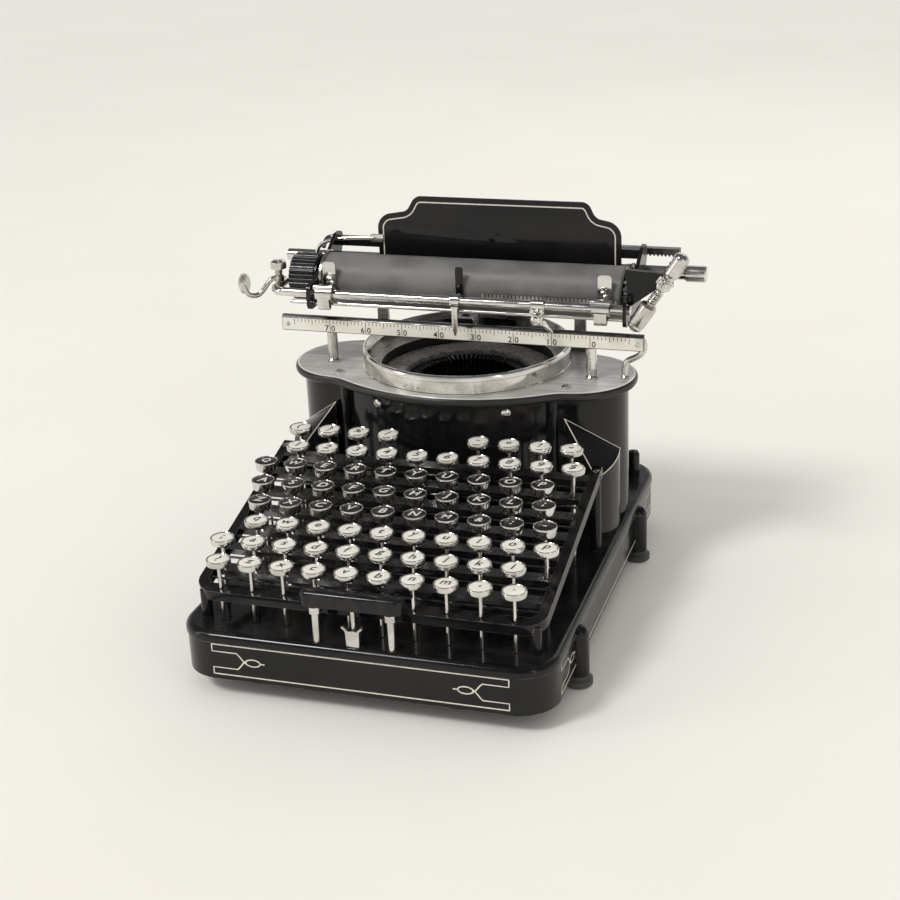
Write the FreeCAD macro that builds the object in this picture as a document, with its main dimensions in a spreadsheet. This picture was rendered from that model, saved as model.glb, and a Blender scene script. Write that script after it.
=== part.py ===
import FreeCAD, Part
import math
import os
import Sketcher
from FreeCAD import Placement, Rotation, Vector

# A full-keyboard upstrike typewriter. Millimetres, Z up, front of the machine towards -Y,
# origin on the table under the middle of the base.

doc = FreeCAD.newDocument("typewriter")

# ---------------------------------------------------------------- driving dimensions
DIMENSIONS = {
    # stand
    "rear_margin": 8, "base_lift": 13, "base_height": 30, "base_wall": 5, "base_top_thickness": 4,
    "base_corner": 24, "base_side_margin": 8, "bead_height": 6, "bead_reach": 0.6,
    "bead_round": 4.2, "boss_radius": 6.5, "boss_drop": 9, "boss_front": 66,
    "boss_rear": 70, "foot_radius": 8.5, "foot_height": 7,
    "corner_post_radius": 4.3, "corner_post_height": 17, "corner_post_inset": 13,
    # keyboard
    "key_pitch": 20, "row_depth": 19, "row_rise": 4.5, "row_shift": 5.6, "front_margin": 19,
    "barrel_gap": 14, "key_top": 83, "key_travel": 6, "cap_radius": 7.4, "white_cap": 4.5, "black_cap": 6.5,
    "stem_radius": 1.25, "stem_clearance": 0.45, "frame_clearance": 1.2, "frame_strip": 6,
    "frame_thickness": 7, "frame_top": 63.5, "frame_reach": 150, "frame_corner": 13,
    "rail_width": 7, "rail_thickness": 4, "wire_width": 1.1, "frame_post_radius": 3.4,
    # key levers
    "lever_thickness": 1, "lever_height": 3.6, "lever_gap": 0.35, "lever_layer": 10,
    "pivot_radius": 2, "pivot_inset": 29,
    # space bar
    "bar_length": 63, "bar_depth": 9.4, "bar_thickness": 10.5, "bar_bottom": 66, "bar_shift": 2.5,
    "bar_gap": 0.5, "bar_stem_radius": 2.6, "bar_stem_spacing": 46, "stirrup_height": 13,
    # type basket
    "basket_y": 80, "basket_height": 88, "shell_wall": 3, "barrel_radius": 119.5,
    "barrel_front": 12, "lobe_radius": 33, "lobe_x": 78, "lobe_y": 70, "back_radius": 84,
    "back_y": 62, "front_blend": 36, "back_blend": 46, "plate_overhang": 6, "plate_thickness": 6,
    "plate_round": 2.6, "column_radius": 3.6, "column_x": 70, "plate_hole": 58,
    "ring_radius": 70, "ring_height": 13.5, "ring_wall": 6, "tray_drop": 6, "tray_wall": 2,
    "well_radius": 42, "pad_thickness": 3, "typebar_ring_height": 16, "typebar_count": 78,
    "typebar_thickness": 1.2, "typebar_depth": 4, "typebar_length": 72, "pull_wire": 0.8,
    # shoulder covers
    "cover_radius": 36, "cover_x": 75, "cover_gap": 37.9, "cover_apex_x": 78, "cover_apex_lead": 10,
    "cover_apex_height": 76, "cover_front_height": 43, "cover_back_height": 52,
    "cover_front_angle": -42, "cover_back_angle": 10,
    # scale
    "scale_length": 247, "scale_y": 61, "scale_height": 10.5, "scale_thickness": 4,
    "scale_lift": 21, "scale_post_x": 89, "scale_post_radius": 3.5,
    # carriage
    "platen_radius": 17, "platen_z": 190, "platen_left": -96, "platen_right": 108,
    "axle_radius": 3, "running_clearance": 0.05, "knob_length": 21, "knob_radius": 16,
    "end_plate": 2.5, "end_gap": 0.5, "ratchet_width": 3.6, "ratchet_radius": 14.5,
    "ratchet_teeth": 20, "rail_radius": 3, "rail_y": 53, "rail_z": 187, "rail_right": 116.4,
    "rail_bend": 8, "lower_rod_radius": 1.25, "lower_rod_drop": 6.5, "rear_rail_radius": 4.25,
    "rear_rail_y": 112, "rear_rail_z": 195, "rear_rail_left": -138, "rear_rail_right": 154.2,
    "truck_length": 90, "truck_wall": 4, "pin_radius": 2, "pin_y": 116, "pin_z": 209,
    "beam_height": 6, "beam_depth": 5, "rest_thickness": 1.6, "rest_left": -67, "rest_right": 100,
    "rest_bottom": 197, "rest_top": 242, "letter_space": 2.54, "rack_left": -80, "rack_right": 135,
    "rack_depth": 5, "rack_height": 5.5, "bracket_x": 70,
    "clamp_radius": 5.4, "clamp_left_x": -88, "clamp_right_x": 98, "clamp_length": 14,
    "pointer_x": 2, "stop_x": 57, "finger_gap": 0.6, "lever_pivot_x": 138, "lever_pivot_z": 206,
    "lever_y": 47, "lever_lean": 33, "socket_radius": 5.5,
}

sheet = doc.addObject("Spreadsheet::Sheet", "dims")
for row, (alias, number) in enumerate(DIMENSIONS.items(), start=1):
    sheet.set("A%d" % row, alias)
    sheet.set("B%d" % row, str(number))
    sheet.setAlias("B%d" % row, alias)
doc.recompute()


# ---------------------------------------------------------------- sizes that know their cell
class Size:
    # A length with its value and the spreadsheet expression that it comes from.
    def __init__(self, value, text):
        self.value = value
        self.text = text

    def join(self, sign, other, value):
        return Size(value, "(%s %s %s)" % (self.text, sign, other.text))

    def __add__(self, other):
        other = as_size(other)
        return self.join("+", other, self.value + other.value)

    def __sub__(self, other):
        other = as_size(other)
        return self.join("-", other, self.value - other.value)

    def __mul__(self, other):
        other = as_size(other)
        return self.join("*", other, self.value * other.value)

    def __truediv__(self, other):
        other = as_size(other)
        return self.join("/", other, self.value / other.value)

    def __radd__(self, other):
        return as_size(other) + self

    def __rsub__(self, other):
        return as_size(other) - self

    def __rmul__(self, other):
        return as_size(other) * self

    def __neg__(self):
        return as_size(0) - self

    def __float__(self):
        return float(self.value)


def as_size(number):
    if isinstance(number, Size):
        return number
    return Size(float(number), "(%r)" % float(number))


class Dims:
    def __getattr__(self, alias):
        return Size(float(sheet.get(alias)), "dims.%s" % alias)


d = Dims()


def bind(obj, prop, size):
    size = as_size(size)
    obj.setExpression(prop, size.text)


def place(obj, x=0, y=0, z=0, rotation=Rotation()):
    obj.Placement = Placement(Vector(float(x), float(y), float(z)), rotation)
    for axis, size in (("x", x), ("y", y), ("z", z)):
        bind(obj, "Placement.Base.%s" % axis, size)
    return obj


# ---------------------------------------------------------------- modelling helpers
ALONG_X = Rotation(Vector(0, 1, 0), 90)
ALONG_Y = Rotation(Vector(1, 0, 0), -90)


def cylinder(name, radius, height, x=0, y=0, z=0, rotation=Rotation()):
    obj = doc.addObject("Part::Cylinder", name)
    bind(obj, "Radius", radius)
    bind(obj, "Height", height)
    return place(obj, x, y, z, rotation)


def box(name, length, width, height, x=0, y=0, z=0, rotation=Rotation()):
    obj = doc.addObject("Part::Box", name)
    bind(obj, "Length", length)
    bind(obj, "Width", width)
    bind(obj, "Height", height)
    return place(obj, x, y, z, rotation)


def sphere(name, radius, x=0, y=0, z=0):
    obj = doc.addObject("Part::Sphere", name)
    bind(obj, "Radius", radius)
    return place(obj, x, y, z)


def fuse(name, objects):
    obj = doc.addObject("Part::MultiFuse", name)
    obj.Shapes = objects
    obj.Refine = True
    return obj


def cut(name, base, tool):
    obj = doc.addObject("Part::Cut", name)
    obj.Base = base
    obj.Tool = tool
    return obj


def group(name, objects):
    obj = doc.addObject("Part::Compound", name)
    obj.Links = objects
    return obj


def solids(name, shapes):
    # A group of repeated solids, made in code from the same dimensions.
    obj = doc.addObject("Part::Feature", name)
    obj.Shape = Part.makeCompound(shapes)
    return obj


def new_body(name):
    return doc.addObject("PartDesign::Body", name)


def new_sketch(body, role="XY_Plane"):
    sketch = body.newObject("Sketcher::SketchObject", body.Name + "_sketch")
    plane = [item for item in body.Origin.OriginFeatures if item.Role == role][0]
    sketch.AttachmentSupport = [(plane, "")]
    sketch.MapMode = "FlatFace"
    return sketch


def pin(sketch, geometry, position, x, y):
    # Holds one sketch point at (x, y).
    for kind, size, axis in (("DistanceX", as_size(x), -2), ("DistanceY", as_size(y), -1)):
        if abs(size.value) < 1e-9:
            sketch.addConstraint(Sketcher.Constraint("PointOnObject", geometry, position, axis))
        else:
            rule = Sketcher.Constraint(kind, -1, 1, geometry, position, size.value)
            index = sketch.addConstraint(rule)
            bind(sketch, "Constraints[%d]" % index, size)


def hold_radius(sketch, geometry, radius):
    radius = as_size(radius)
    index = sketch.addConstraint(Sketcher.Constraint("Radius", geometry, radius.value))
    bind(sketch, "Constraints[%d]" % index, radius)


def draw_outline(sketch, points):
    first = sketch.GeometryCount
    count = len(points)
    for i, (x, y) in enumerate(points):
        next_x, next_y = points[(i + 1) % count]
        start = Vector(float(x), float(y), 0)
        end = Vector(float(next_x), float(next_y), 0)
        sketch.addGeometry(Part.LineSegment(start, end), False)
    for i in range(count):
        joint = Sketcher.Constraint("Coincident", first + i, 2, first + (i + 1) % count, 1)
        sketch.addConstraint(joint)
    for i, (x, y) in enumerate(points):
        pin(sketch, first + i, 1, x, y)


def draw_circle(sketch, x, y, radius):
    index = sketch.GeometryCount
    centre = Vector(float(x), float(y), 0)
    sketch.addGeometry(Part.Circle(centre, Vector(0, 0, 1), float(radius)), False)
    pin(sketch, index, 3, x, y)
    hold_radius(sketch, index, radius)


def rectangle(half_x, half_y, y=0):
    return [(-half_x, y - half_y), (half_x, y - half_y), (half_x, y + half_y), (-half_x, y + half_y)]


def add_pad(body, sketch, length, name="pad"):
    pad = body.newObject("PartDesign::Pad", body.Name + "_" + name)
    pad.Profile = sketch
    bind(pad, "Length", length)
    doc.recompute()
    return pad


def add_pocket(body, sketch, length, name="pocket", reverse=False):
    before = body.Shape.Volume
    pocket = body.newObject("PartDesign::Pocket", body.Name + "_" + name)
    pocket.Profile = sketch
    pocket.Reversed = reverse
    bind(pocket, "Length", length)
    doc.recompute()
    if body.Shape.Volume > before - 1e-3:
        raise ValueError("%s removes nothing" % pocket.Name)
    return pocket


def edges_where(shape, test):
    return ["Edge%d" % (i + 1) for i, edge in enumerate(shape.Edges) if test(edge)]


def is_upright(edge):
    box_of = edge.BoundBox
    return box_of.ZLength > 1e-3 and box_of.XLength < 1e-6 and box_of.YLength < 1e-6


def is_level(edge, z):
    box_of = edge.BoundBox
    return box_of.ZLength < 1e-6 and abs(box_of.ZMin - float(z)) < 1e-4


def fillet_after(body, feature, test, radius, name="fillet"):
    edges = edges_where(feature.Shape, test)
    fillet = body.newObject("PartDesign::Fillet", body.Name + "_" + name)
    fillet.Base = (feature, edges)
    bind(fillet, "Radius", radius)
    doc.recompute()
    return fillet


def turned(name, points, x=0, y=0, z=0, rotation=Rotation()):
    # A piece turned about its own Z axis; each point is (radius, height).
    body = new_body(name)
    sketch = new_sketch(body, "XZ_Plane")
    draw_outline(sketch, points)
    feature = body.newObject("PartDesign::Revolution", name + "_turn")
    feature.Profile = sketch
    feature.ReferenceAxis = (sketch, ["V_Axis"])
    feature.Angle = 360
    place(body, x, y, z, rotation)
    doc.recompute()
    return body


def extruded(name, points, length, role="XY_Plane", x=0, y=0, z=0, rotation=Rotation()):
    body = new_body(name)
    sketch = new_sketch(body, role)
    draw_outline(sketch, points)
    add_pad(body, sketch, length)
    place(body, x, y, z, rotation)
    return body


def bar_between(size_x, size_y, bottom, top, x, y):
    # A plain upright rectangular solid centred on (x, y).
    corner = Vector(x - size_x / 2, y - size_y / 2, bottom)
    return Part.makeBox(size_x, size_y, top - bottom, corner)


def rod(points, radius, bend):
    # A round rod along straight runs joined by bends of one radius.
    edges = []
    start = Vector(*points[0])
    for before, corner, after in zip(points, points[1:], points[2:]):
        corner = Vector(*corner)
        back = (Vector(*before) - corner).normalize()
        ahead = (Vector(*after) - corner).normalize()
        half_turn = math.acos(max(-1, min(1, back.dot(ahead)))) / 2
        reach = bend / math.tan(half_turn)
        first = corner + back * reach
        last = corner + ahead * reach
        middle = (back + ahead).normalize()
        crown = corner + middle * (bend / math.sin(half_turn) - bend)
        edges.append(Part.LineSegment(start, first).toShape())
        edges.append(Part.Arc(first, crown, last).toShape())
        start = last
    edges.append(Part.LineSegment(start, Vector(*points[-1])).toShape())
    path = Part.Wire(edges)
    direction = Vector(*points[1]) - Vector(*points[0])
    profile = Part.Wire(Part.makeCircle(radius, Vector(*points[0]), direction))
    return path.makePipeShell([profile], True, False)


parts = []


def finish(obj, label=None):
    obj.Label = label or obj.Name
    parts.append(obj)
    return obj


# ---------------------------------------------------------------- shared places
row_count = 8
front_row_y = d.barrel_front - d.barrel_gap - (row_count - 1) * d.row_depth
base_top = d.base_lift + d.base_height
top_inside = base_top - d.base_top_thickness
plate_bottom = base_top + d.basket_height
plate_top = plate_bottom + d.plate_thickness
slope = math.degrees(math.atan2(float(d.row_rise), float(d.row_depth)))
row_run = math.hypot(float(d.row_rise), float(d.row_depth))
cos_slope = math.cos(math.radians(slope))
sin_slope = math.sin(math.radians(slope))


def row_y(row):
    # Rows are counted from the front, 0 to 7.
    return float(front_row_y + row * d.row_depth)


def row_offset(row):
    # Each row steps left by the shift, and jumps right by one pitch where that would pass the edge.
    jumps = (1 if row >= 2 else 0) + (1 if row >= 6 else 0)
    return -row * float(d.row_shift) + jumps * float(d.key_pitch)


def key_columns(row):
    # The rearmost row leaves out its two middle keys, where the basket bulges.
    last_row = row == row_count - 1
    return [0, 1, 2, 3, 6, 7, 8, 9] if last_row else list(range(10))


def key_x(row, column):
    return (column - 4.5) * float(d.key_pitch) + row_offset(row)


widest_offset = max(abs(row_offset(row)) for row in range(row_count))
frame_inner = 4.5 * d.key_pitch + widest_offset + d.stem_radius + d.frame_clearance
frame_outer = frame_inner + d.frame_strip
base_half = frame_outer + d.base_side_margin
base_front = front_row_y - d.front_margin
base_rear = d.back_y + d.back_radius + d.rear_margin
base_half_depth = (base_rear - base_front) / 2
base_middle = (base_rear + base_front) / 2
wall_half = base_half - d.bead_reach
all_keys = [(row, column) for row in range(row_count) for column in key_columns(row)]


# ---------------------------------------------------------------- base casting
def base_casting():
    body = new_body("base_body")
    sketch = new_sketch(body)
    draw_outline(sketch, rectangle(wall_half, base_half_depth - d.bead_reach))
    wall = add_pad(body, sketch, d.base_height, "wall")
    bead_sketch = new_sketch(body)
    bead_sketch.AttachmentOffset = Placement(Vector(0, 0, float(d.base_height - d.bead_height)), Rotation())
    bind(bead_sketch, "AttachmentOffset.Base.z", d.base_height - d.bead_height)
    draw_outline(bead_sketch, rectangle(base_half, base_half_depth))
    bead = add_pad(body, bead_sketch, d.bead_height, "bead")
    inner = new_sketch(body)
    inner_x = wall_half - d.base_wall
    inner_y = base_half_depth - d.bead_reach - d.base_wall
    draw_outline(inner, rectangle(inner_x, inner_y))
    hollow = add_pocket(body, inner, d.base_height - d.base_top_thickness, "hollow", reverse=True)

    def is_inner_corner(edge):
        return is_upright(edge) and abs(abs(edge.BoundBox.XMin) - float(inner_x)) < 1e-3

    def is_outer_corner(edge):
        return is_upright(edge) and abs(edge.BoundBox.XMin) > float(inner_x) + 1

    inside = fillet_after(body, hollow, is_inner_corner, d.base_corner - d.base_wall, "inner_corners")
    rounded = fillet_after(body, inside, is_outer_corner, d.base_corner, "corners")
    fillet_after(body, rounded, lambda edge: is_level(edge, d.base_height), d.bead_round, "top_round")
    place(body, 0, base_middle, d.base_lift)
    bosses = []
    for side in (-1, 1):
        for y in (base_front + d.boss_front, base_rear - d.boss_rear):
            low = d.foot_height
            high = base_top - d.boss_drop
            tag = "%d" % len(bosses)
            bosses.append(cylinder("boss" + tag, d.boss_radius, high - low, side * wall_half, y, low))
            bosses.append(sphere("dome" + tag, d.boss_radius, side * wall_half, y, high - 1))
    shell = fuse("base_shell", [body] + bosses)
    square = 2 * float(d.stem_radius + d.stem_clearance)
    hole_low, hole_high = float(top_inside) - 1, float(base_top) + 1
    holes = [bar_between(square, square, hole_low, hole_high, key_x(*key), row_y(key[0]))
             for key in all_keys]
    stem_holes = solids("stem_holes", holes)
    well = cylinder("well_hole", d.well_radius + 8, d.base_top_thickness + 2, 0, d.basket_y, top_inside - 1)
    bar_radius = d.bar_stem_radius + d.stem_clearance
    bar_depth = d.base_top_thickness + d.key_travel + 2.5
    bar_holes = [cylinder("bar_hole%d" % side, bar_radius, bar_depth + 1,
                          side * d.bar_stem_spacing / 2 - d.bar_shift, bar_y, base_top - bar_depth)
                 for side in (-1, 1)]
    tools = group("base_holes", [stem_holes, well] + bar_holes)
    return finish(cut("base_casting", shell, tools))


bar_y = front_row_y - d.cap_radius - d.bar_gap - d.bar_depth / 2
base_casting()

foot_profile = [(0, 0), (d.foot_radius - 1, 0), (d.foot_radius, 1), (d.foot_radius, d.foot_height * 0.6),
                (d.boss_radius, d.foot_height * 0.75), (d.boss_radius, d.foot_height), (0, d.foot_height)]
feet = []
for side in (-1, 1):
    for y in (base_front + d.boss_front, base_rear - d.boss_rear):
        feet.append(turned("foot%d" % len(feet), foot_profile, side * wall_half, y, 0))
finish(group("rubber_feet", feet))

post_r = d.corner_post_radius
post_profile = [(0, 0), (post_r, 0), (post_r, d.corner_post_height - post_r * 0.7),
                (post_r * 0.75, d.corner_post_height - post_r * 0.2), (0, d.corner_post_height)]
corner_posts = [turned("corner_post%d" % (side + 1), post_profile, side * (base_half - d.corner_post_inset),
                       base_rear - d.corner_post_inset - 10, base_top) for side in (-1, 1)]
finish(group("rear_domed_posts", corner_posts))


# ---------------------------------------------------------------- keyboard frame and rails
def tilt(obj):
    # Lays a piece drawn flat into the sloping plane of the keyboard.
    return place(obj, 0, front_row_y, d.frame_top, Rotation(Vector(1, 0, 0), slope))


def guide_holes(name, rows):
    square = 2 * float(d.stem_radius + d.stem_clearance)
    shapes = []
    for row, column in all_keys:
        if row in rows:
            middle = float(d.frame_top) + row * float(d.row_rise)
            place_x, place_y = key_x(row, column), row_y(row)
            shapes.append(bar_between(square, square, middle - 14, middle + 8, place_x, place_y))
    return solids(name, shapes)


frame_body = new_body("frame_body")
frame_sketch = new_sketch(frame_body)
front_edge = d.frame_strip / 2 + 1
draw_outline(frame_sketch, [
    (-frame_outer, -front_edge), (frame_outer, -front_edge), (frame_outer, d.frame_reach),
    (frame_inner, d.frame_reach), (frame_inner, front_edge), (-frame_inner, front_edge),
    (-frame_inner, d.frame_reach), (-frame_outer, d.frame_reach)])
frame_pad = add_pad(frame_body, frame_sketch, d.frame_thickness)
frame_pad.Reversed = True
doc.recompute()


def is_outer_front(edge):
    return is_upright(edge) and abs(edge.BoundBox.XMin) > float(frame_outer) - 1e-3 and edge.BoundBox.YMin < 0


def is_inner_front(edge):
    near = abs(edge.BoundBox.YMin - float(front_edge)) < 1e-3
    return is_upright(edge) and near


outer_round = fillet_after(frame_body, frame_pad, is_outer_front, d.frame_corner, "outer")
fillet_after(frame_body, outer_round, is_inner_front, d.frame_corner - d.frame_strip - 2, "inner")
tilt(frame_body)
keyboard_frame = finish(cut("keyboard_frame", frame_body, guide_holes("front_holes", [0])))


def guide_rails():
    # One cross rail under each row behind the first, with a thin wire in each gap.
    width = 2 * float(frame_inner)
    pieces = []
    for row in range(1, row_count):
        rail_front = row * row_run - float(d.rail_width) / 2
        rail = Part.makeBox(width, float(d.rail_width), float(d.rail_thickness),
                            Vector(-width / 2, rail_front, -float(d.rail_thickness)))
        pieces.append(rail)
        wire = Part.makeBox(width, float(d.wire_width), float(d.wire_width),
                            Vector(-width / 2, (row - 0.5) * row_run, -float(d.rail_thickness) / 2))
        pieces.append(wire)
    placement = Placement(Vector(0, float(front_row_y), float(d.frame_top)), Rotation(Vector(1, 0, 0), slope))
    for piece in pieces:
        piece.Placement = placement
    return solids("rail_blanks", pieces)


finish(cut("guide_rails", guide_rails(), guide_holes("rail_holes", range(1, row_count))))


rear_post_y = front_row_y + (d.frame_reach - d.frame_strip) * cos_slope
cover_y = rear_post_y + d.cover_gap


def frame_posts():
    strip_x = frame_outer - d.frame_strip / 2
    corner = d.frame_corner - d.frame_strip / 2
    diagonal = corner * math.sqrt(0.5)
    front_x = frame_outer - d.frame_corner + diagonal
    front_y = front_row_y - front_edge + d.frame_corner - diagonal
    posts = []
    for side in (-1, 1):
        for x, y, up in ((front_x, front_y, d.frame_top), (strip_x, rear_post_y, d.frame_top)):
            rise = (y - front_row_y) * (sin_slope / cos_slope)
            height = up + rise - d.frame_thickness / 2 - base_top
            posts.append(cylinder("post%d" % len(posts), d.frame_post_radius, height, side * x, y, base_top))
    return group("post_blanks", posts)


finish(cut("frame_posts", frame_posts(), frame_body))


# ---------------------------------------------------------------- keys and their levers
def many_sided(radius, sides, bottom, top, x, y):
    points = [Vector(x + radius * math.cos(2 * math.pi * i / sides),
                     y + radius * math.sin(2 * math.pi * i / sides), bottom) for i in range(sides + 1)]
    return Part.Face(Part.makePolygon(points)).extrude(Vector(0, 0, top - bottom))


def lever_top(row):
    # The front row has its levers one layer lower, because its columns nearly meet the rear row's.
    gap = float(top_inside) - 0.8
    return gap - (float(d.lever_layer) if row == 0 else 0)


def key_row(row):
    black = row in (3, 4, 5)
    cap = float(d.black_cap if black else d.white_cap)
    top = float(d.key_top) + row * float(d.row_rise)
    shapes = []
    for column in key_columns(row):
        x = key_x(row, column)
        y = row_y(row)
        shapes.append(many_sided(float(d.cap_radius), 14, top - cap, top, x, y))
        stem_foot = lever_top(row) + float(d.lever_gap)
        stem = 2 * float(d.stem_radius)
        shapes.append(bar_between(stem, stem, stem_foot, top - cap, x, y))
    return solids("key_row_%d" % (row_count - row), shapes)


pivot_y = base_rear - d.pivot_inset


def key_levers(row):
    top = lever_top(row)
    thickness = float(d.lever_thickness)
    front = row_y(row) - 3
    back = float(pivot_y - d.pivot_radius - d.lever_gap)
    shapes = []
    for column in key_columns(row):
        corner = Vector(key_x(row, column) - thickness / 2, front, top - float(d.lever_height))
        shapes.append(Part.makeBox(thickness, back - front, float(d.lever_height), corner))
    return solids("key_levers_row_%d" % (row_count - row), shapes)


for row in range(row_count):
    finish(key_row(row))
    finish(key_levers(row))

pivot_half = wall_half - d.base_wall
pivot_top = top_inside - 0.8 - d.lever_height / 2
pivots = [cylinder("pivot%d" % layer, d.pivot_radius, 2 * pivot_half, -pivot_half, pivot_y,
                   pivot_top - layer * d.lever_layer, ALONG_X) for layer in (0, 1)]
finish(group("lever_pivot_rods", pivots))


# ---------------------------------------------------------------- space bar
def space_bar():
    body = new_body("space_bar")
    sketch = new_sketch(body)
    draw_outline(sketch, rectangle(d.bar_length / 2, d.bar_depth / 2))
    pad = add_pad(body, sketch, d.bar_thickness)
    corners = fillet_after(body, pad, is_upright, d.bar_depth * 0.42, "ends")
    crown = fillet_after(body, corners, lambda edge: is_level(edge, d.bar_thickness), d.bar_depth * 0.3,
                         "crown")
    fillet_after(body, crown, lambda edge: is_level(edge, 0), d.bar_depth * 0.12, "belly")
    place(body, -d.bar_shift, bar_y, d.bar_bottom)
    return finish(body)


space_bar()
collar = d.bar_stem_radius + 1.4
stem_low = top_inside - 1
stem_profile = [(0, 0), (d.bar_stem_radius, 0), (d.bar_stem_radius, d.bar_bottom - stem_low - 5),
                (collar, d.bar_bottom - stem_low - 4), (collar, d.bar_bottom - stem_low),
                (0, d.bar_bottom - stem_low)]
bar_stems = [turned("bar_stem%d" % (side + 1), stem_profile, side * d.bar_stem_spacing / 2 - d.bar_shift,
                    bar_y, stem_low) for side in (-1, 1)]
link_foot = base_top + d.stirrup_height - 4
bar_stems.append(cylinder("bar_link", 1.5, d.bar_bottom - link_foot, -d.bar_shift, bar_y, link_foot))
finish(group("space_bar_stems", bar_stems))

stirrup = extruded("space_bar_stirrup", [
    (-4.6, 0), (4.6, 0), (4.6, d.stirrup_height), (2.4, d.stirrup_height), (2.4, 3), (-2.4, 3),
    (-2.4, d.stirrup_height), (-4.6, d.stirrup_height)], 7, "XZ_Plane", -d.bar_shift, bar_y + 3.5, base_top)
finish(stirrup)


# ---------------------------------------------------------------- type basket
def draw_lobed_outline(sketch, grow):
    # A wide front barrel, two side lobes and a round back, joined by hollow blends.
    # grow moves the whole outline outwards, so every outline drawn with it is parallel.
    front = (as_size(0), d.barrel_front + d.barrel_radius, d.barrel_radius + grow)
    back = (as_size(0), d.back_y, d.back_radius + grow)
    lobes = {side: (side * d.lobe_x, d.lobe_y, d.lobe_radius + grow) for side in (-1, 1)}

    def spot(circle):
        return Vector(float(circle[0]), float(circle[1]), 0)

    def blend_centre(main, lobe, blend, forward):
        a = spot(main)
        b = spot(lobe)
        reach_a = float(main[2]) + blend
        reach_b = float(lobe[2]) + blend
        gap = (b - a).Length
        along = (reach_a ** 2 - reach_b ** 2 + gap ** 2) / (2 * gap)
        across = math.sqrt(reach_a ** 2 - along ** 2)
        unit = (b - a) * (1 / gap)
        normal = Vector(-unit.y, unit.x, 0)
        choices = [a + unit * along + normal * across, a + unit * along - normal * across]
        return min(choices, key=lambda point: point.y if forward else -point.y)

    blends = {(side, True): d.front_blend - grow for side in (-1, 1)}
    blends.update({(side, False): d.back_blend - grow for side in (-1, 1)})
    centres = {}
    for side, forward in blends:
        main = front if forward else back
        centres[side, forward] = blend_centre(main, lobes[side], float(blends[side, forward]), forward)

    def bearing(origin, target):
        return math.atan2(target.y - origin.y, target.x - origin.x)

    def add_arc(centre, radius, start, end):
        while end < start:
            end += 2 * math.pi
        circle = Part.Circle(centre, Vector(0, 0, 1), float(radius))
        return sketch.addGeometry(Part.ArcOfCircle(circle, start, end), False)

    def convex(circle, start_blend, end_blend):
        origin = spot(circle)
        start = bearing(origin, centres[start_blend])
        return add_arc(origin, circle[2], start, bearing(origin, centres[end_blend]))

    def hollow(key, first, second):
        origin = centres[key]
        return add_arc(origin, blends[key], bearing(origin, spot(second)), bearing(origin, spot(first)))

    ring = [
        convex(front, (-1, True), (1, True)), hollow((1, True), front, lobes[1]),
        convex(lobes[1], (1, True), (1, False)), hollow((1, False), lobes[1], back),
        convex(back, (1, False), (-1, False)), hollow((-1, False), back, lobes[-1]),
        convex(lobes[-1], (-1, False), (-1, True)), hollow((-1, True), lobes[-1], front)]
    for i, index in enumerate(ring):
        following = ring[(i + 1) % len(ring)]
        leave, enter = (2, 2) if i % 2 == 0 else (1, 1)
        sketch.addConstraint(Sketcher.Constraint("Tangent", index, leave, following, enter))
    for index, circle in ((ring[0], front), (ring[2], lobes[1]), (ring[4], back), (ring[6], lobes[-1])):
        pin(sketch, index, 3, circle[0], circle[1])
        hold_radius(sketch, index, circle[2])
    hollows = ((ring[1], (1, True)), (ring[3], (1, False)), (ring[5], (-1, False)), (ring[7], (-1, True)))
    for index, key in hollows:
        hold_radius(sketch, index, blends[key])


def type_basket_shell():
    body = new_body("basket_wall")
    sketch = new_sketch(body)
    draw_lobed_outline(sketch, as_size(0))
    draw_lobed_outline(sketch, -d.shell_wall)
    add_pad(body, sketch, d.basket_height)
    place(body, z=base_top)
    column_y = barrel_face(d.column_x) - 1.5
    columns = [cylinder("column%d" % (side + 1), d.column_radius, d.basket_height, side * d.column_x,
                        column_y, base_top) for side in (-1, 1)]
    return finish(fuse("type_basket_shell", [body] + columns))


def barrel_face(x):
    # How far forward the front barrel's wall stands at this x.
    inside = float(d.barrel_radius) ** 2 - float(x) ** 2
    return d.barrel_front + d.barrel_radius - math.sqrt(inside)


def lobe_front(x):
    # How far forward the side lobe's wall stands at this x.
    inside = float(d.lobe_radius) ** 2 - (float(d.lobe_x) - float(x)) ** 2
    return d.lobe_y - math.sqrt(inside)


type_basket_shell()


def top_plate():
    body = new_body("top_plate")
    sketch = new_sketch(body)
    draw_lobed_outline(sketch, d.plate_overhang)
    draw_circle(sketch, 0, d.basket_y, d.plate_hole)
    pad = add_pad(body, sketch, d.plate_thickness)

    def on_rim(edge, z):
        return is_level(edge, z) and edge.BoundBox.DiagonalLength > 1 and not is_hole(edge)

    def is_hole(edge):
        return isinstance(edge.Curve, Part.Circle) and abs(edge.Curve.Radius - float(d.plate_hole)) < 1e-3

    upper = fillet_after(body, pad, lambda edge: on_rim(edge, d.plate_thickness), d.plate_round, "upper_rim")
    fillet_after(body, upper, lambda edge: on_rim(edge, 0), d.plate_round, "lower_rim")
    place(body, z=plate_bottom)
    return finish(body)


top_plate()

screw_profile = [(0, 0), (3.2, 0), (3.2, 0.8), (1.8, 2), (0, 2)]
plate_screws = [turned("screw%d" % (side + 1), screw_profile, side * (d.column_x + 7),
                       lobe_front(d.lobe_x) + 5, plate_top) for side in (-1, 1)]
barrel_sine = 30 / float(d.barrel_radius)
for side in (-1, 1):
    lean = math.degrees(math.asin(barrel_sine))
    screw_y = d.barrel_front + d.barrel_radius * (1 - math.sqrt(1 - barrel_sine ** 2))
    facing = Rotation(Vector(0, 0, 1), side * lean) * Rotation(Vector(1, 0, 0), 90)
    plate_screws.append(turned("wall_screw%d" % (side + 1), screw_profile, side * 30, screw_y,
                               plate_bottom - 12, facing))
finish(group("case_screws", plate_screws))

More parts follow.
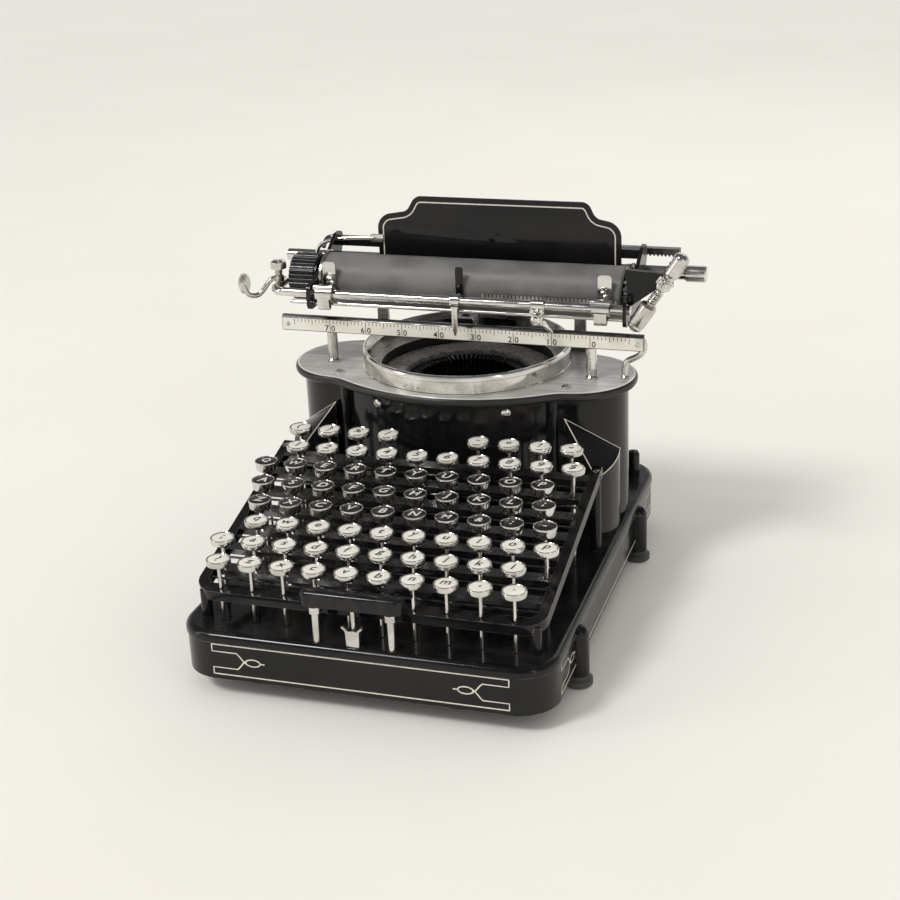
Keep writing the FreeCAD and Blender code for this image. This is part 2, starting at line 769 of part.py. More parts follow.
ring_inner = d.ring_radius - d.ring_wall
finish(turned("pad_ring", [
    (ring_inner, 0), (d.ring_radius, 0), (d.ring_radius, d.ring_height - 2),
    (d.ring_radius - 1, d.ring_height - 1.6),
    (d.ring_radius - 1.6, d.ring_height), (d.ring_radius - 3.4, d.ring_height),
    (ring_inner, d.ring_height - 3)],
    0, d.basket_y, plate_top))

# The tray hangs from the plate's hole; its inner lip carries the ring that the typebars hang in.
tray_floor = plate_bottom - d.tray_drop
tray_outer = d.plate_hole + 3.5
bars_outer = d.well_radius - 1.4
finish(turned("typebar_ring", [
    (bars_outer, -d.typebar_ring_height), (bars_outer + 4.4, -d.typebar_ring_height), (bars_outer + 4.4, 0),
    (tray_outer, 0), (tray_outer, d.tray_drop), (tray_outer - d.tray_wall, d.tray_drop),
    (tray_outer - d.tray_wall, d.tray_wall), (bars_outer, d.tray_wall)], 0, d.basket_y, tray_floor))
pad_low = tray_floor + d.tray_wall
finish(turned("ink_pad", [
    (d.well_radius, 0), (tray_outer - d.tray_wall - 0.3, 0),
    (tray_outer - d.tray_wall - 0.3, d.pad_thickness - 0.8),
    (tray_outer - d.tray_wall - 1.1, d.pad_thickness), (d.well_radius + 0.8, d.pad_thickness),
    (d.well_radius, d.pad_thickness - 0.8)], 0, d.basket_y, pad_low))


def typebars():
    # The bars hang close inside the ring, each with its pull wire down to the levers.
    count = int(round(float(d.typebar_count)))
    outer = float(bars_outer) - 0.35
    depth = float(d.typebar_depth)
    thick = float(d.typebar_thickness)
    top = float(tray_floor + d.tray_wall) - 1
    foot = top - float(d.typebar_length)
    wire = float(d.pull_wire)
    wire_foot = float(top_inside) - 0.4
    shapes = []
    for i in range(count):
        profile = [Vector(outer - depth, -thick / 2, foot), Vector(outer, -thick / 2, foot + 3),
                   Vector(outer, -thick / 2, top), Vector(outer - depth - 2, -thick / 2, top),
                   Vector(outer - depth, -thick / 2, top - 5)]
        bar = Part.Face(Part.makePolygon(profile + profile[:1])).extrude(Vector(0, thick, 0))
        pull = Part.makeBox(wire, wire, foot - wire_foot, Vector(outer - depth, -wire / 2, wire_foot))
        for shape in (bar, pull):
            shape.rotate(Vector(0, 0, 0), Vector(0, 0, 1), (i + 0.5) * 360 / count)
            shape.translate(Vector(0, float(d.basket_y), 0))
            shapes.append(shape)
    return solids("typebars", shapes)


finish(typebars())


# ---------------------------------------------------------------- shoulder covers
def roofed_wedge(inset):
    # The room under a roof that fans out from one point beside the basket to a wall on an arc.
    # inset draws it smaller all round, for the hollow inside.
    floor = float(base_top)
    radius = float(d.cover_radius) - inset

    def on_arc(angle, z):
        turn = math.radians(angle)
        x = float(d.cover_x) + radius * math.cos(turn)
        return Vector(x, float(cover_y) + radius * math.sin(turn), z)

    start = float(d.cover_front_angle) + inset * 1.6
    end = float(d.cover_back_angle) - inset * 1.6
    apex_y = float(cover_y - d.cover_apex_lead) + inset
    apex = Vector(float(d.cover_apex_x), apex_y, floor + float(d.cover_apex_height) - inset)
    rim_start = on_arc(start, floor + float(d.cover_front_height) - inset)
    rim_end = on_arc(end, floor + float(d.cover_back_height) - inset)
    middle = on_arc((start + end) / 2, floor)
    arc = Part.Arc(on_arc(start, floor), middle, on_arc(end, floor)).toShape()
    chord = Part.LineSegment(on_arc(end, floor), on_arc(start, floor)).toShape()
    wall = Part.Face(Part.Wire([arc, chord])).extrude(Vector(0, 0, apex.z - floor))
    # The rim lies in the tilted plane that holds both ends of the wall's top.
    along = (rim_end - rim_start).normalize()
    across = Vector(along.y, -along.x, 0).normalize()
    corner = rim_start - along * 200 - across * 200
    above = Part.makePlane(400, 400, corner, along.cross(across), along).extrude(Vector(0, 0, 300))
    wall = wall.cut(above)
    rim_face = max(wall.Faces, key=lambda face: face.CenterOfMass.z)
    fan = Part.makeLoft([Part.Vertex(apex), rim_face.OuterWire], True)
    triangle = Part.Face(Part.makePolygon([apex, rim_start, rim_end, apex]))
    block = triangle.extrude(Vector(0, 0, floor - apex.z - 1))
    below = Part.makeBox(400, 400, 200, Vector(-200, -200, floor - 200))
    return wall.fuse([fan, block.cut(below)]).removeSplitter()


cover_sheet = 2
cover_wedge = solids("cover_wedge", [roofed_wedge(0).cut(roofed_wedge(cover_sheet)).removeSplitter()])
basket_room = new_body("basket_room")
room_sketch = new_sketch(basket_room)
draw_lobed_outline(room_sketch, as_size(0))
add_pad(basket_room, room_sketch, d.basket_height)
place(basket_room, z=base_top)
cover = finish(cut("shoulder_cover_right", cover_wedge, basket_room))
mirrored = doc.addObject("Part::Mirroring", "shoulder_cover_left")
mirrored.Source = cover
mirrored.Base = Vector(0, 0, 0)
mirrored.Normal = Vector(1, 0, 0)
finish(mirrored)

# ---------------------------------------------------------------- scale
scale_bottom = plate_top + d.scale_lift
scale = extruded("scale_bar", [
    (-d.scale_thickness / 2, 0), (d.scale_thickness / 2, 0), (d.scale_thickness / 2, d.scale_height),
    (-d.scale_thickness / 2 + 1.2, d.scale_height), (-d.scale_thickness / 2, d.scale_height - 1.2)],
    d.scale_length, "YZ_Plane", -d.scale_length / 2, d.scale_y, scale_bottom)
finish(scale)
scale_post_profile = [(0, 0), (d.scale_post_radius + 0.8, 0), (d.scale_post_radius + 0.8, 1.5),
                      (d.scale_post_radius, 2.5), (d.scale_post_radius, d.scale_lift), (0, d.scale_lift)]
finish(group("scale_posts", [turned("scale_post%d" % (side + 1), scale_post_profile, side * d.scale_post_x,
                                    d.scale_y + 1, plate_top) for side in (-1, 1)]))

# ---------------------------------------------------------------- rear rail, brackets, centre bracket
rail_run = d.rear_rail_right - d.rear_rail_left
finish(turned("rear_rail", [
    (0, 0), (d.rear_rail_radius - 0.8, 0), (d.rear_rail_radius, 0.8), (d.rear_rail_radius, rail_run - 13),
    (d.rear_rail_radius + 1.2, rail_run - 13), (d.rear_rail_radius + 1.2, rail_run - 0.8),
    (d.rear_rail_radius + 0.4, rail_run), (0, rail_run)],
    d.rear_rail_left, d.rear_rail_y, d.rear_rail_z, ALONG_X))


def rail_bracket(tag, x):
    height = d.rear_rail_z - d.rear_rail_radius - plate_top
    return extruded("bracket" + tag, [
        (-7, 0), (7, 0), (7, 3), (4, 5), (3.4, height), (-3.4, height), (-4, 5), (-7, 3)],
        3, "XZ_Plane", x, d.rear_rail_y + 1.5, plate_top)


brackets = fuse("bracket_blanks", [rail_bracket("0", -d.bracket_x), rail_bracket("1", d.bracket_x)])
finish(brackets, "rail_brackets")

# ---------------------------------------------------------------- carriage truck and rack
sleeve_outer = d.rear_rail_radius + d.truck_wall
sleeve_inner = d.rear_rail_radius + d.running_clearance


def carriage_truck():
    # An open sleeve on the rail, slit underneath for the brackets, with lugs for the hinge pin.
    half = d.truck_length / 2
    sleeve = cylinder("sleeve", sleeve_outer, d.truck_length, -half, d.rear_rail_y, d.rear_rail_z, ALONG_X)
    lug_low = d.rear_rail_z
    lug_front = d.pin_y - 4
    lug = box("lug", d.truck_length, 8, d.pin_z + 4 - lug_low, -half, lug_front, lug_low)
    blank = fuse("truck_blank", [sleeve, lug])
    bore = cylinder("sleeve_bore", sleeve_inner, d.truck_length + 2, -half - 1, d.rear_rail_y, d.rear_rail_z,
                    ALONG_X)
    slit = box("sleeve_slit", d.truck_length + 2, 6, sleeve_outer + 2, -half - 1, d.rear_rail_y - 3,
               d.rear_rail_z - sleeve_outer - 2)
    pin_bore = cylinder("pin_bore", d.pin_radius + d.running_clearance, d.truck_length + 2, -half - 1,
                        d.pin_y, d.pin_z, ALONG_X)
    knuckle_room = box("knuckle_room", d.truck_length - 14, 20, 12, -half + 7, d.pin_y - 10, d.pin_z - 5)
    return finish(cut("carriage_truck", blank, group("truck_holes", [bore, slit, pin_bore, knuckle_room])))


carriage_truck()
pin_length = d.truck_length + 4
finish(cylinder("hinge_pin", d.pin_radius, pin_length, -pin_length / 2, d.pin_y, d.pin_z, ALONG_X))


def escapement_rack():
    # A toothed bar one letter space to the tooth, with a rod that steadies its left end on the rail.
    # A notch is centred on x = 0, over the escapement wheel.
    space = float(d.letter_space)
    y = float(d.pin_y) + 4
    low = float(rack_bottom)
    left = float(d.rack_left)
    right = float(d.rack_right)
    top = low + float(d.rack_height)
    outline = [Vector(left, y, top), Vector(left, y, low)]
    first = math.ceil((left + 2) / space)
    last = math.floor((right - 4) / space)
    for i in range(first, last + 1):
        outline += [Vector((i - 0.5) * space, y, low), Vector(i * space, y, low + float(notch_depth))]
    outline += [Vector((last + 0.5) * space, y, low), Vector(right, y, low), Vector(right, y, top)]
    bar = Part.Face(Part.makePolygon(outline + outline[:1])).extrude(Vector(0, float(d.rack_depth), 0))
    rod_top = low + 3
    guide_y = y + 2
    rail_top = float(d.rear_rail_z + d.rear_rail_radius)
    guide = rod([(left + 4, guide_y, rod_top), (left - 32, guide_y, rod_top),
                 (left - 32, float(d.rear_rail_y) + 1.5, rail_top + 1.9)], 1.7, 3.5)
    return solids("escapement_rack", [bar.fuse(guide)])


rack_bottom = d.pin_z - 6
notch_depth = as_size(1.6)
finish(escapement_rack())


# ---------------------------------------------------------------- centre bracket and escapement wheel
ring_top = plate_top + d.ring_height
guide_z = ring_top + 12


def centre_bracket():
    # Stands on the back of the pad ring; carries the wheel's spindle and, below, the type guide.
    foot_y = d.basket_y + d.ring_radius - 3.2
    column = box("bracket_column", 12, 3, wheel_z + 5 - ring_top, -6, foot_y - 1.5, ring_top)
    arm = box("guide_arm", 9, foot_y - d.basket_y + 6, 3.5, -4.5, d.basket_y - 6, guide_z)
    block = box("guide_block", 13, 13, 7, -6.5, d.basket_y - 6.5, guide_z - 1)
    spindle = cylinder("wheel_spindle", 1.6, foot_y - wheel_y, 0, wheel_y, wheel_z, ALONG_Y)
    blank = fuse("centre_blank", [column, arm, block, spindle])
    slot = box("type_slot", 5, 5, 20, -2.5, d.basket_y - 2.5, guide_z - 10)
    return finish(cut("centre_bracket", blank, slot))


wheel_teeth = 20
wheel_radius = d.letter_space * wheel_teeth / (2 * math.pi)
wheel_y = d.pin_y + 4.6
wheel_z = rack_bottom + 0.6 - wheel_radius
centre_bracket()


def toothed_disc(name, radius, width, bore, teeth, depth, x, y, z, rotation, lean):
    # A disc with V notches round its edge; lean sets how far each notch is swept to one side.
    body = new_body(name)
    sketch = new_sketch(body)
    draw_circle(sketch, 0, 0, radius)
    draw_circle(sketch, 0, 0, bore)
    add_pad(body, sketch, width)
    notch = new_sketch(body)
    half = radius * math.sin(math.pi / teeth) * 0.95
    draw_outline(notch, [(radius + 0.5, -half), (radius + 0.5, half), (radius - depth, half * lean)])
    pocket = add_pocket(body, notch, width, "notch", reverse=True)
    pattern = body.newObject("PartDesign::PolarPattern", name + "_teeth")
    pattern.Originals = [pocket]
    axis = [item for item in body.Origin.OriginFeatures if item.Role == "Z_Axis"][0]
    pattern.Axis = (axis, [""])
    pattern.Angle = 360
    pattern.Occurrences = teeth
    body.Tip = pattern
    place(body, x, y, z, rotation)
    doc.recompute()
    return body


half_tooth = Rotation(Vector(0, 0, 1), 180 / wheel_teeth)
finish(toothed_disc("escapement_wheel", wheel_radius, 3, 1.6 + d.running_clearance, wheel_teeth, 1.4, 0,
                    wheel_y, wheel_z, ALONG_Y * half_tooth, 0.0))

# ---------------------------------------------------------------- carriage frame
left_face = d.platen_left - d.end_gap
right_face = d.platen_right + d.ratchet_width + 2 * d.end_gap
lever_pin_radius = as_size(1.9)
pawl_pin_radius = as_size(1.1)
pawl_y = d.basket_y + 12
pawl_z = d.platen_z + 14
beam_y = d.pin_y - 12
beam_z = d.pin_z - 3.5


def end_plate(tag, x):
    beam_rear = beam_y + d.beam_depth + 3
    profile = [(d.rail_y - 7, d.rail_z - 10), (d.rail_y + 6, d.rail_z - 10),
               (d.basket_y + 10, d.platen_z - 12), (beam_rear, beam_z),
               (beam_rear, beam_z + d.beam_height + 3), (beam_y - 3, beam_z + d.beam_height + 3),
               (d.basket_y, d.platen_z + 12), (d.rail_y + 4, d.rail_z + 7), (d.rail_y - 7, d.rail_z + 7)]
    body = extruded("end_plate" + tag, profile, d.end_plate, "YZ_Plane", x)
    pad = body.Tip
    fillet_after(body, pad, lambda edge: edge.BoundBox.XLength > 1, 4, "rounds")
    return body


arm_y = d.lever_y + 11


def carriage_frame():
    length = right_face + d.end_plate - (left_face - d.end_plate)
    ends = [end_plate("0", left_face - d.end_plate), end_plate("1", right_face)]
    beam = box("rear_beam", length, d.beam_depth, d.beam_height, left_face - d.end_plate, beam_y, beam_z)
    knuckles = []
    for side in (-1, 1):
        x = side * (d.truck_length / 2 - 14) - 4
        knuckles.append(box("knuckle_arm%d" % side, 8, d.pin_y - beam_y - d.beam_depth, 6, x,
                            beam_y + d.beam_depth, d.pin_z - 3))
        knuckles.append(cylinder("knuckle%d" % side, 3.6, 8, x, d.pin_y, d.pin_z, ALONG_X))
    arm = extruded("lever_arm", [
        (right_face, d.platen_z - 4), (d.lever_pivot_x - 5, d.lever_pivot_z - 5),
        (d.lever_pivot_x + 4, d.lever_pivot_z - 4), (d.lever_pivot_x + 4, d.lever_pivot_z + 4),
        (right_face, d.lever_pivot_z + 6)], 3, "XZ_Plane", 0, arm_y + 3)
    blank = fuse("frame_blank", ends + [beam] + knuckles + [arm])
    through = length + 4
    start = left_face - d.end_plate - 2
    fit = d.running_clearance
    holes = [cylinder("axle_hole", d.axle_radius + fit, through, start, d.basket_y, d.platen_z, ALONG_X),
             cylinder("rail_hole", d.rail_radius + fit, through, start, d.rail_y, d.rail_z, ALONG_X),
             cylinder("rod_hole", d.lower_rod_radius + fit, through, start, d.rail_y,
                      d.rail_z - d.lower_rod_drop, ALONG_X),
             cylinder("knuckle_hole", d.pin_radius + fit, d.truck_length, -d.truck_length / 2,
                      d.pin_y, d.pin_z, ALONG_X),
             cylinder("lever_hole", lever_pin_radius + fit, 9, d.lever_pivot_x, arm_y - 3, d.lever_pivot_z,
                      ALONG_Y),
             cylinder("pawl_hole", pawl_pin_radius + fit, 9, right_face - 3, pawl_y, pawl_z, ALONG_X)]
    return finish(cut("carriage_frame", blank, group("frame_holes", holes)))


carriage_frame()


def front_rails():
    # The main rod turns back round the knob at the left; a thin rod runs below it.
    bend_x = float(left_face - d.end_plate - d.knob_length) - 6
    y = float(d.rail_y)
    z = float(d.rail_z)
    main = rod([(float(d.rail_right), y, z), (bend_x, y, z), (bend_x, y + 24, z)], float(d.rail_radius),
               float(d.rail_bend))
    low = z - float(d.lower_rod_drop)
    left = float(left_face - d.end_plate) - 14
    lower = Part.makeCylinder(float(d.lower_rod_radius), float(d.rail_right) - 1 - left, Vector(left, y, low),
                              Vector(1, 0, 0))
    return solids("front_rails", [main, lower])


finish(front_rails())


def margin_rack():
    # A toothed strip that lies along the top of the front rail between the stops.
    space = 4.0
    low = float(d.rail_z + d.rail_radius)
    y = float(d.rail_y) + 0.5
    left = float(d.pointer_x) + 18
    count = int((float(right_face) - 2 - left) / space)
    outline = [Vector(left, y, low)]
    for i in range(count):
        x = left + i * space
        outline += [Vector(x, y, low + 3), Vector(x + 2, y, low + 3), Vector(x + 2, y, low + 1.2),
                    Vector(x + space, y, low + 1.2)]
    outline += [Vector(left + count * space, y, low)]
    strip = Part.Face(Part.makePolygon(outline + outline[:1])).extrude(Vector(0, 2, 0))
    return solids("margin_rack", [strip])


finish(margin_rack())

# ---------------------------------------------------------------- platen
platen_length = d.platen_right - d.platen_left
bore = d.axle_radius + 0.02
finish(turned("platen", [
    (bore, 0), (d.platen_radius - 1, 0), (d.platen_radius, 1), (d.platen_radius, platen_length - 1),
    (d.platen_radius - 1, platen_length), (bore, platen_length)],
    d.platen_left, d.basket_y, d.platen_z, ALONG_X))
knob_left = left_face - d.end_plate - d.end_gap - d.knob_length
axle_length = right_face + d.end_plate + 3 - knob_left
finish(cylinder("platen_axle", d.axle_radius, axle_length, knob_left, d.basket_y, d.platen_z, ALONG_X))
finish(toothed_disc("platen_knob", d.knob_radius, d.knob_length, bore, 24, 1.3, knob_left, d.basket_y,
                    d.platen_z, ALONG_X, 0.0))
finish(toothed_disc("ratchet_wheel", d.ratchet_radius, d.ratchet_width, bore, int(float(d.ratchet_teeth)), 2,
                    d.platen_right + d.end_gap / 2, d.basket_y, d.platen_z, ALONG_X, 1.0))


# ---------------------------------------------------------------- clamps, pointer and stop on the rail
rail_bore = d.rail_radius + d.running_clearance
finger_y = d.basket_y - d.platen_radius - d.finger_gap - 1


def on_rail(name, x, length, radius, extras):
    # A sleeve on the front rail, joined with its own small pieces and bored to fit the rail,
    # the lower rod and the rack strip.
    sleeve = cylinder(name + "_sleeve", radius, length, x - length / 2, d.rail_y, d.rail_z, ALONG_X)
    blank = fuse(name + "_blank", [sleeve] + extras)
    hole = cylinder(name + "_bore", rail_bore, length + 20, x - length / 2 - 10, d.rail_y, d.rail_z, ALONG_X)
    rod_room = cylinder(name + "_rod", d.lower_rod_radius + 0.4, length + 20, x - length / 2 - 10, d.rail_y,
                        d.rail_z - d.lower_rod_drop, ALONG_X)
    rack_room = box(name + "_rack", length + 20, 3.2, 4, x - length / 2 - 10, d.rail_y - 0.1,
                    d.rail_z + d.rail_radius - 0.4)
    return finish(cut(name, blank, group(name + "_holes", [hole, rod_room, rack_room])))


def paper_clamp(name, x):
    finger = extruded(name + "_finger", [
        (-4.5, 0), (4.5, 0), (4.5, 19), (3.5, 20.5), (-3.5, 20.5), (-4.5, 19)], 1, "XZ_Plane", x,
        finger_y + 1, d.rail_z - 1)
    seat = box(name + "_seat", 9, finger_y - d.rail_y, 3, x - 4.5, d.rail_y + 0.5, d.rail_z - 4)
    roll = cylinder(name + "_roll", 1.8, 13, x - 6.5, d.rail_y - 3.4, d.rail_z + 5.2, ALONG_X)
    tail = box(name + "_tail", 8, 3, 8, x - 4, d.rail_y - 4.6, d.rail_z - 10.5)
    return on_rail(name, x, d.clamp_length, d.clamp_radius, [finger, seat, roll, tail])


paper_clamp("paper_clamp_left", d.clamp_left_x)
paper_clamp("paper_clamp_right", d.clamp_right_x)


def pointer_clamp():
    x = d.pointer_x
    blade_y = d.scale_y - d.scale_thickness / 2 - 2
    finger = extruded("pointer_finger", [
        (-2.6, 0), (2.6, 0), (2.6, 20), (1.6, 21), (-1.6, 21), (-2.6, 20)], 1, "XZ_Plane", x, finger_y + 1,
        d.rail_z - 1)
    seat = box("pointer_seat", 5.2, finger_y - d.rail_y, 3, x - 2.6, d.rail_y + 0.5, d.rail_z - 4)
    blade = extruded("pointer_blade", [
        (-0.6, 0), (0.6, 0), (2, 6), (2, 23), (-2, 23), (-2, 6)], 1, "XZ_Plane", x, blade_y + 1,
        scale_bottom + d.scale_height - 4)
    return on_rail("pointer_clamp", x, 6, d.clamp_radius - 0.4, [finger, seat, blade])


pointer_clamp()


def margin_stop():
    x = d.stop_x
    foot = box("stop_foot", 7, 5, 9, x - 3.5, d.rail_y - 5.5, d.rail_z - 12)
    screw = cylinder("stop_screw", 3.3, 5, x, d.rail_y - 10.4, d.rail_z - 7, ALONG_Y)
    pawl = extruded("stop_pawl", [(0, 0), (3, 0), (8, -8), (6.4, -9), (0, -3)], 1.6, "XZ_Plane", x + 2,
                    d.rail_y - 2.6, d.rail_z - 9)
    return on_rail("margin_stop", x, 9, d.clamp_radius - 0.6, [foot, screw, pawl])


margin_stop()


# ---------------------------------------------------------------- lever, pawl, hook, rest arm
def line_space_lever():
    # A yoke on its pin, a knurled grip above it and, below, a rod into a sleeve with a round end.
    rod_r = 2.1
    sleeve_r = d.socket_radius
    points = [(0, -35.4), (sleeve_r * 0.6, -34.5), (sleeve_r * 0.92, -32.3), (sleeve_r, -30), (sleeve_r, -15),
              (sleeve_r - 1, -14), (rod_r, -14), (rod_r, -4.5), (5, -3.5), (5, 4.5), (3, 6), (3.6, 8),
              (5.2, 9.5), (5.2, 20), (4.4, 22.6), (2.4, 24), (0, 24.4)]
    lean = Rotation(Vector(0, 1, 0), float(d.lever_lean))
    shaft = turned("lever_shaft", points, d.lever_pivot_x, d.lever_y, d.lever_pivot_z, lean)
    pin_back = cylinder("lever_pin", lever_pin_radius, arm_y + 3 - d.lever_y, d.lever_pivot_x, d.lever_y,
                        d.lever_pivot_z, ALONG_Y)
    return finish(fuse("line_space_lever", [shaft, pin_back]))


line_space_lever()

# The pawl hangs over the ratchet's teeth from a pin in the right end plate.
pawl_x = d.platen_right + d.end_gap + 0.6
pawl_arm = extruded("pawl_arm", [
    (-1, 2.2), (-8, 5.4), (-15, 4), (-17, 0.8), (-14.6, 0.7), (-8, 2.2), (-2, -1)], 2, "YZ_Plane",
    pawl_x, pawl_y, pawl_z)
pawl_boss = cylinder("pawl_boss", 2.3, 2, pawl_x, pawl_y, pawl_z, ALONG_X)
pawl_pin = cylinder("pawl_pin", pawl_pin_radius, right_face + d.end_plate - pawl_x, pawl_x, pawl_y, pawl_z,
                    ALONG_X)
finish(fuse("feed_pawl", [pawl_arm, pawl_boss, pawl_pin]))


def finger_hook():
    # A bent stalk from the rail's corner to a spoon-shaped end, held by a knurled screw.
    bend_x = float(left_face - d.end_plate - d.knob_length) - 6
    y = float(d.rail_y) + 13
    z = float(d.rail_z)
    top = z + float(d.rail_radius)
    stalk = rod([(bend_x, y, top + 2.2), (bend_x - 5, y - 3, top + 1.8), (bend_x - 13, y - 9, z - 6),
                 (bend_x - 18.6, y - 12.4, z - 3), (bend_x - 19.6, y - 13.4, z + 5)], 1.8, 2.6)
    oval = Part.Wire(Part.Ellipse(Vector(0, 0, 0), 7.2, 4.4).toShape())
    spoon = Part.Face(oval).extrude(Vector(0, 0, 2.6))
    upright = Rotation(Vector(0, 0, 1), -50) * Rotation(Vector(0, 1, 0), 90)
    spoon.Placement = Placement(Vector(bend_x - 20.6, y - 12.4, z + 4), upright)
    profile = [Vector(0, 0, 0), Vector(3.4, 0, 0), Vector(3.4, 0, 4), Vector(2.4, 0, 5), Vector(2.4, 0, 8),
               Vector(5, 0, 9.5), Vector(5.6, 0, 12), Vector(4.6, 0, 14.5), Vector(0, 0, 15)]
    screw = Part.Face(Part.makePolygon(profile + profile[:1])).revolve(Vector(0, 0, 0), Vector(0, 0, 1), 360)
    screw.translate(Vector(bend_x, y, top))
    return solids("finger_hook", [stalk.fuse([spoon, screw])])


finish(finger_hook())


def carriage_rest_arm():
    # A curved arm that rises from the right lobe of the plate, out and up beside the scale's end.
    x = float(d.lobe_x + d.lobe_radius) - 1
    y = float(d.scale_y) + 6
    floor = float(plate_top)
    top = float(d.rail_z) - 24
    arm = rod([(x, y, floor), (x, y, floor + 8), (x + 13, y, floor + 13), (x + 11, y, top)], 2.2, 3.4)
    return solids("carriage_rest_arm", [arm])


finish(carriage_rest_arm())


def paper_rest():
    # A thin upright plate with stepped, hollow-cut upper corners.
    body = new_body("paper_rest")
    sketch = new_sketch(body, "XZ_Plane")
    shoulder = d.rest_top - 14
    neck = d.rest_top - 10.5
    draw_outline(sketch, [
        (d.rest_left, d.rest_bottom), (d.rest_right, d.rest_bottom), (d.rest_right, shoulder),
        (d.rest_right - 17, neck), (d.rest_right - 22, d.rest_top), (d.rest_left + 27, d.rest_top),
        (d.rest_left + 21, neck), (d.rest_left, shoulder)])
    pad = add_pad(body, sketch, d.rest_thickness)
    shoulders = fillet_after(body, pad, is_shoulder, 9, "shoulders")
    fillet_after(body, shoulders, is_neck, 4.4, "necks")
    place(body, 0, beam_y, 0)
    return finish(body)


def is_shoulder(edge):
    along_y = edge.BoundBox.YLength > 1 and edge.BoundBox.XLength < 1e-6
    return along_y and abs(edge.BoundBox.ZMin - float(d.rest_top) + 14) < 0.1


def is_neck(edge):
    along_y = edge.BoundBox.YLength > 1 and edge.BoundBox.XLength < 1e-6
    return along_y and edge.BoundBox.ZMin > float(d.rest_top) - 11


paper_rest()

# ---------------------------------------------------------------- check and write
doc.recompute()
for obj in doc.Objects:
    if "Invalid" in obj.State or "Error" in obj.State:
        raise ValueError("%s failed: %s" % (obj.Name, obj.State))
os.makedirs("parts", exist_ok=True)
for obj in parts:
    if obj.Shape.isNull() or not obj.Shape.isValid() or not obj.Shape.Solids:
        raise ValueError("%s has no valid solid" % obj.Label)
for obj in parts:
    obj.Shape.exportStep("parts/%s.step" % obj.Label)
print("%d sub-parts written" % len(parts))
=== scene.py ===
import math

import bmesh
import bpy
from mathutils import Matrix, Vector


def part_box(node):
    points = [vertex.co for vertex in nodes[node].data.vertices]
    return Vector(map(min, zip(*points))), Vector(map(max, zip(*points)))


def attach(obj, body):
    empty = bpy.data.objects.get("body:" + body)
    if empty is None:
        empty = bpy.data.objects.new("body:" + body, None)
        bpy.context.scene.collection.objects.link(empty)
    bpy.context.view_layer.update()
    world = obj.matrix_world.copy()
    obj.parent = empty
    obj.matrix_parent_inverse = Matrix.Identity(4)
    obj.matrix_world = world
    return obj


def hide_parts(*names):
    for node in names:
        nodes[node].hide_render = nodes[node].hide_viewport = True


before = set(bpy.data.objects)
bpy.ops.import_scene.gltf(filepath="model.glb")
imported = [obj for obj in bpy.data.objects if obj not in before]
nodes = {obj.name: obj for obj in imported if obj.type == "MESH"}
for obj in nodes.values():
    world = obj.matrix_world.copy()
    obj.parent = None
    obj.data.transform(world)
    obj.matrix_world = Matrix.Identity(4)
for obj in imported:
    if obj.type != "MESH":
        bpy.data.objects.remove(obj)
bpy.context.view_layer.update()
mm = 0.001
print("frame loaded:", len(nodes), "nodes")


# shader groups, built once and shared by the finishes

def newGroup(name, inputs, outputs):
    group = bpy.data.node_groups.new(name, "ShaderNodeTree")
    for label, value in inputs.items():
        socket = group.interface.new_socket(label, in_out="INPUT", socket_type="NodeSocketFloat")
        socket.default_value = value
    for label in outputs:
        group.interface.new_socket(label, in_out="OUTPUT", socket_type="NodeSocketFloat")
    return group, group.nodes.new("NodeGroupInput"), group.nodes.new("NodeGroupOutput")


def fill(tree, socket, value):
    # a socket takes a number, a vector or colour, or what another node puts out
    if isinstance(value, (int, float)):
        socket.default_value = value
    elif isinstance(value, tuple):
        socket.default_value = (*value, 1.0)[:len(socket.default_value)]
    else:
        tree.links.new(value, socket)


def feed(tree, node, **values):
    for label, value in values.items():
        fill(tree, node.inputs[label.replace("_", " ")], value)


def mathNode(tree, operation, first, second):
    node = tree.nodes.new("ShaderNodeMath")
    node.operation = operation
    fill(tree, node.inputs[0], first)
    fill(tree, node.inputs[1], second)
    return node.outputs[0]


def ramp(tree, value, low, high, out=(0.0, 1.0)):
    node = tree.nodes.new("ShaderNodeMapRange")
    node.interpolation_type = "SMOOTHSTEP"
    feed(tree, node, Value=value, From_Min=low, From_Max=high, To_Min=out[0], To_Max=out[1])
    return node.outputs["Result"]


def blendColour(tree, factor, first, second, blend="MIX"):
    node = tree.nodes.new("ShaderNodeMix")
    node.data_type = "RGBA"
    node.blend_type = blend
    feed(tree, node, Factor=factor, A=first, B=second)
    return node.outputs["Result"]


def heightIn(tree, space):
    # the Z share of a coordinate: with Normal how far a surface faces up
    place = tree.nodes.new("ShaderNodeTexCoord")
    split = tree.nodes.new("ShaderNodeSeparateXYZ")
    feed(tree, split, Vector=place.outputs[space])
    return split.outputs["Z"]


def noise(tree, scale, detail=2.0, stretch=(1.0, 1.0, 1.0), rough=0.5):
    place = tree.nodes.new("ShaderNodeTexCoord")
    mapping = tree.nodes.new("ShaderNodeMapping")
    feed(tree, mapping, Vector=place.outputs["Object"], Scale=stretch)
    node = tree.nodes.new("ShaderNodeTexNoise")
    feed(tree, node, Vector=mapping.outputs["Vector"], Scale=scale, Detail=detail, Roughness=rough)
    return node.outputs["Fac"]


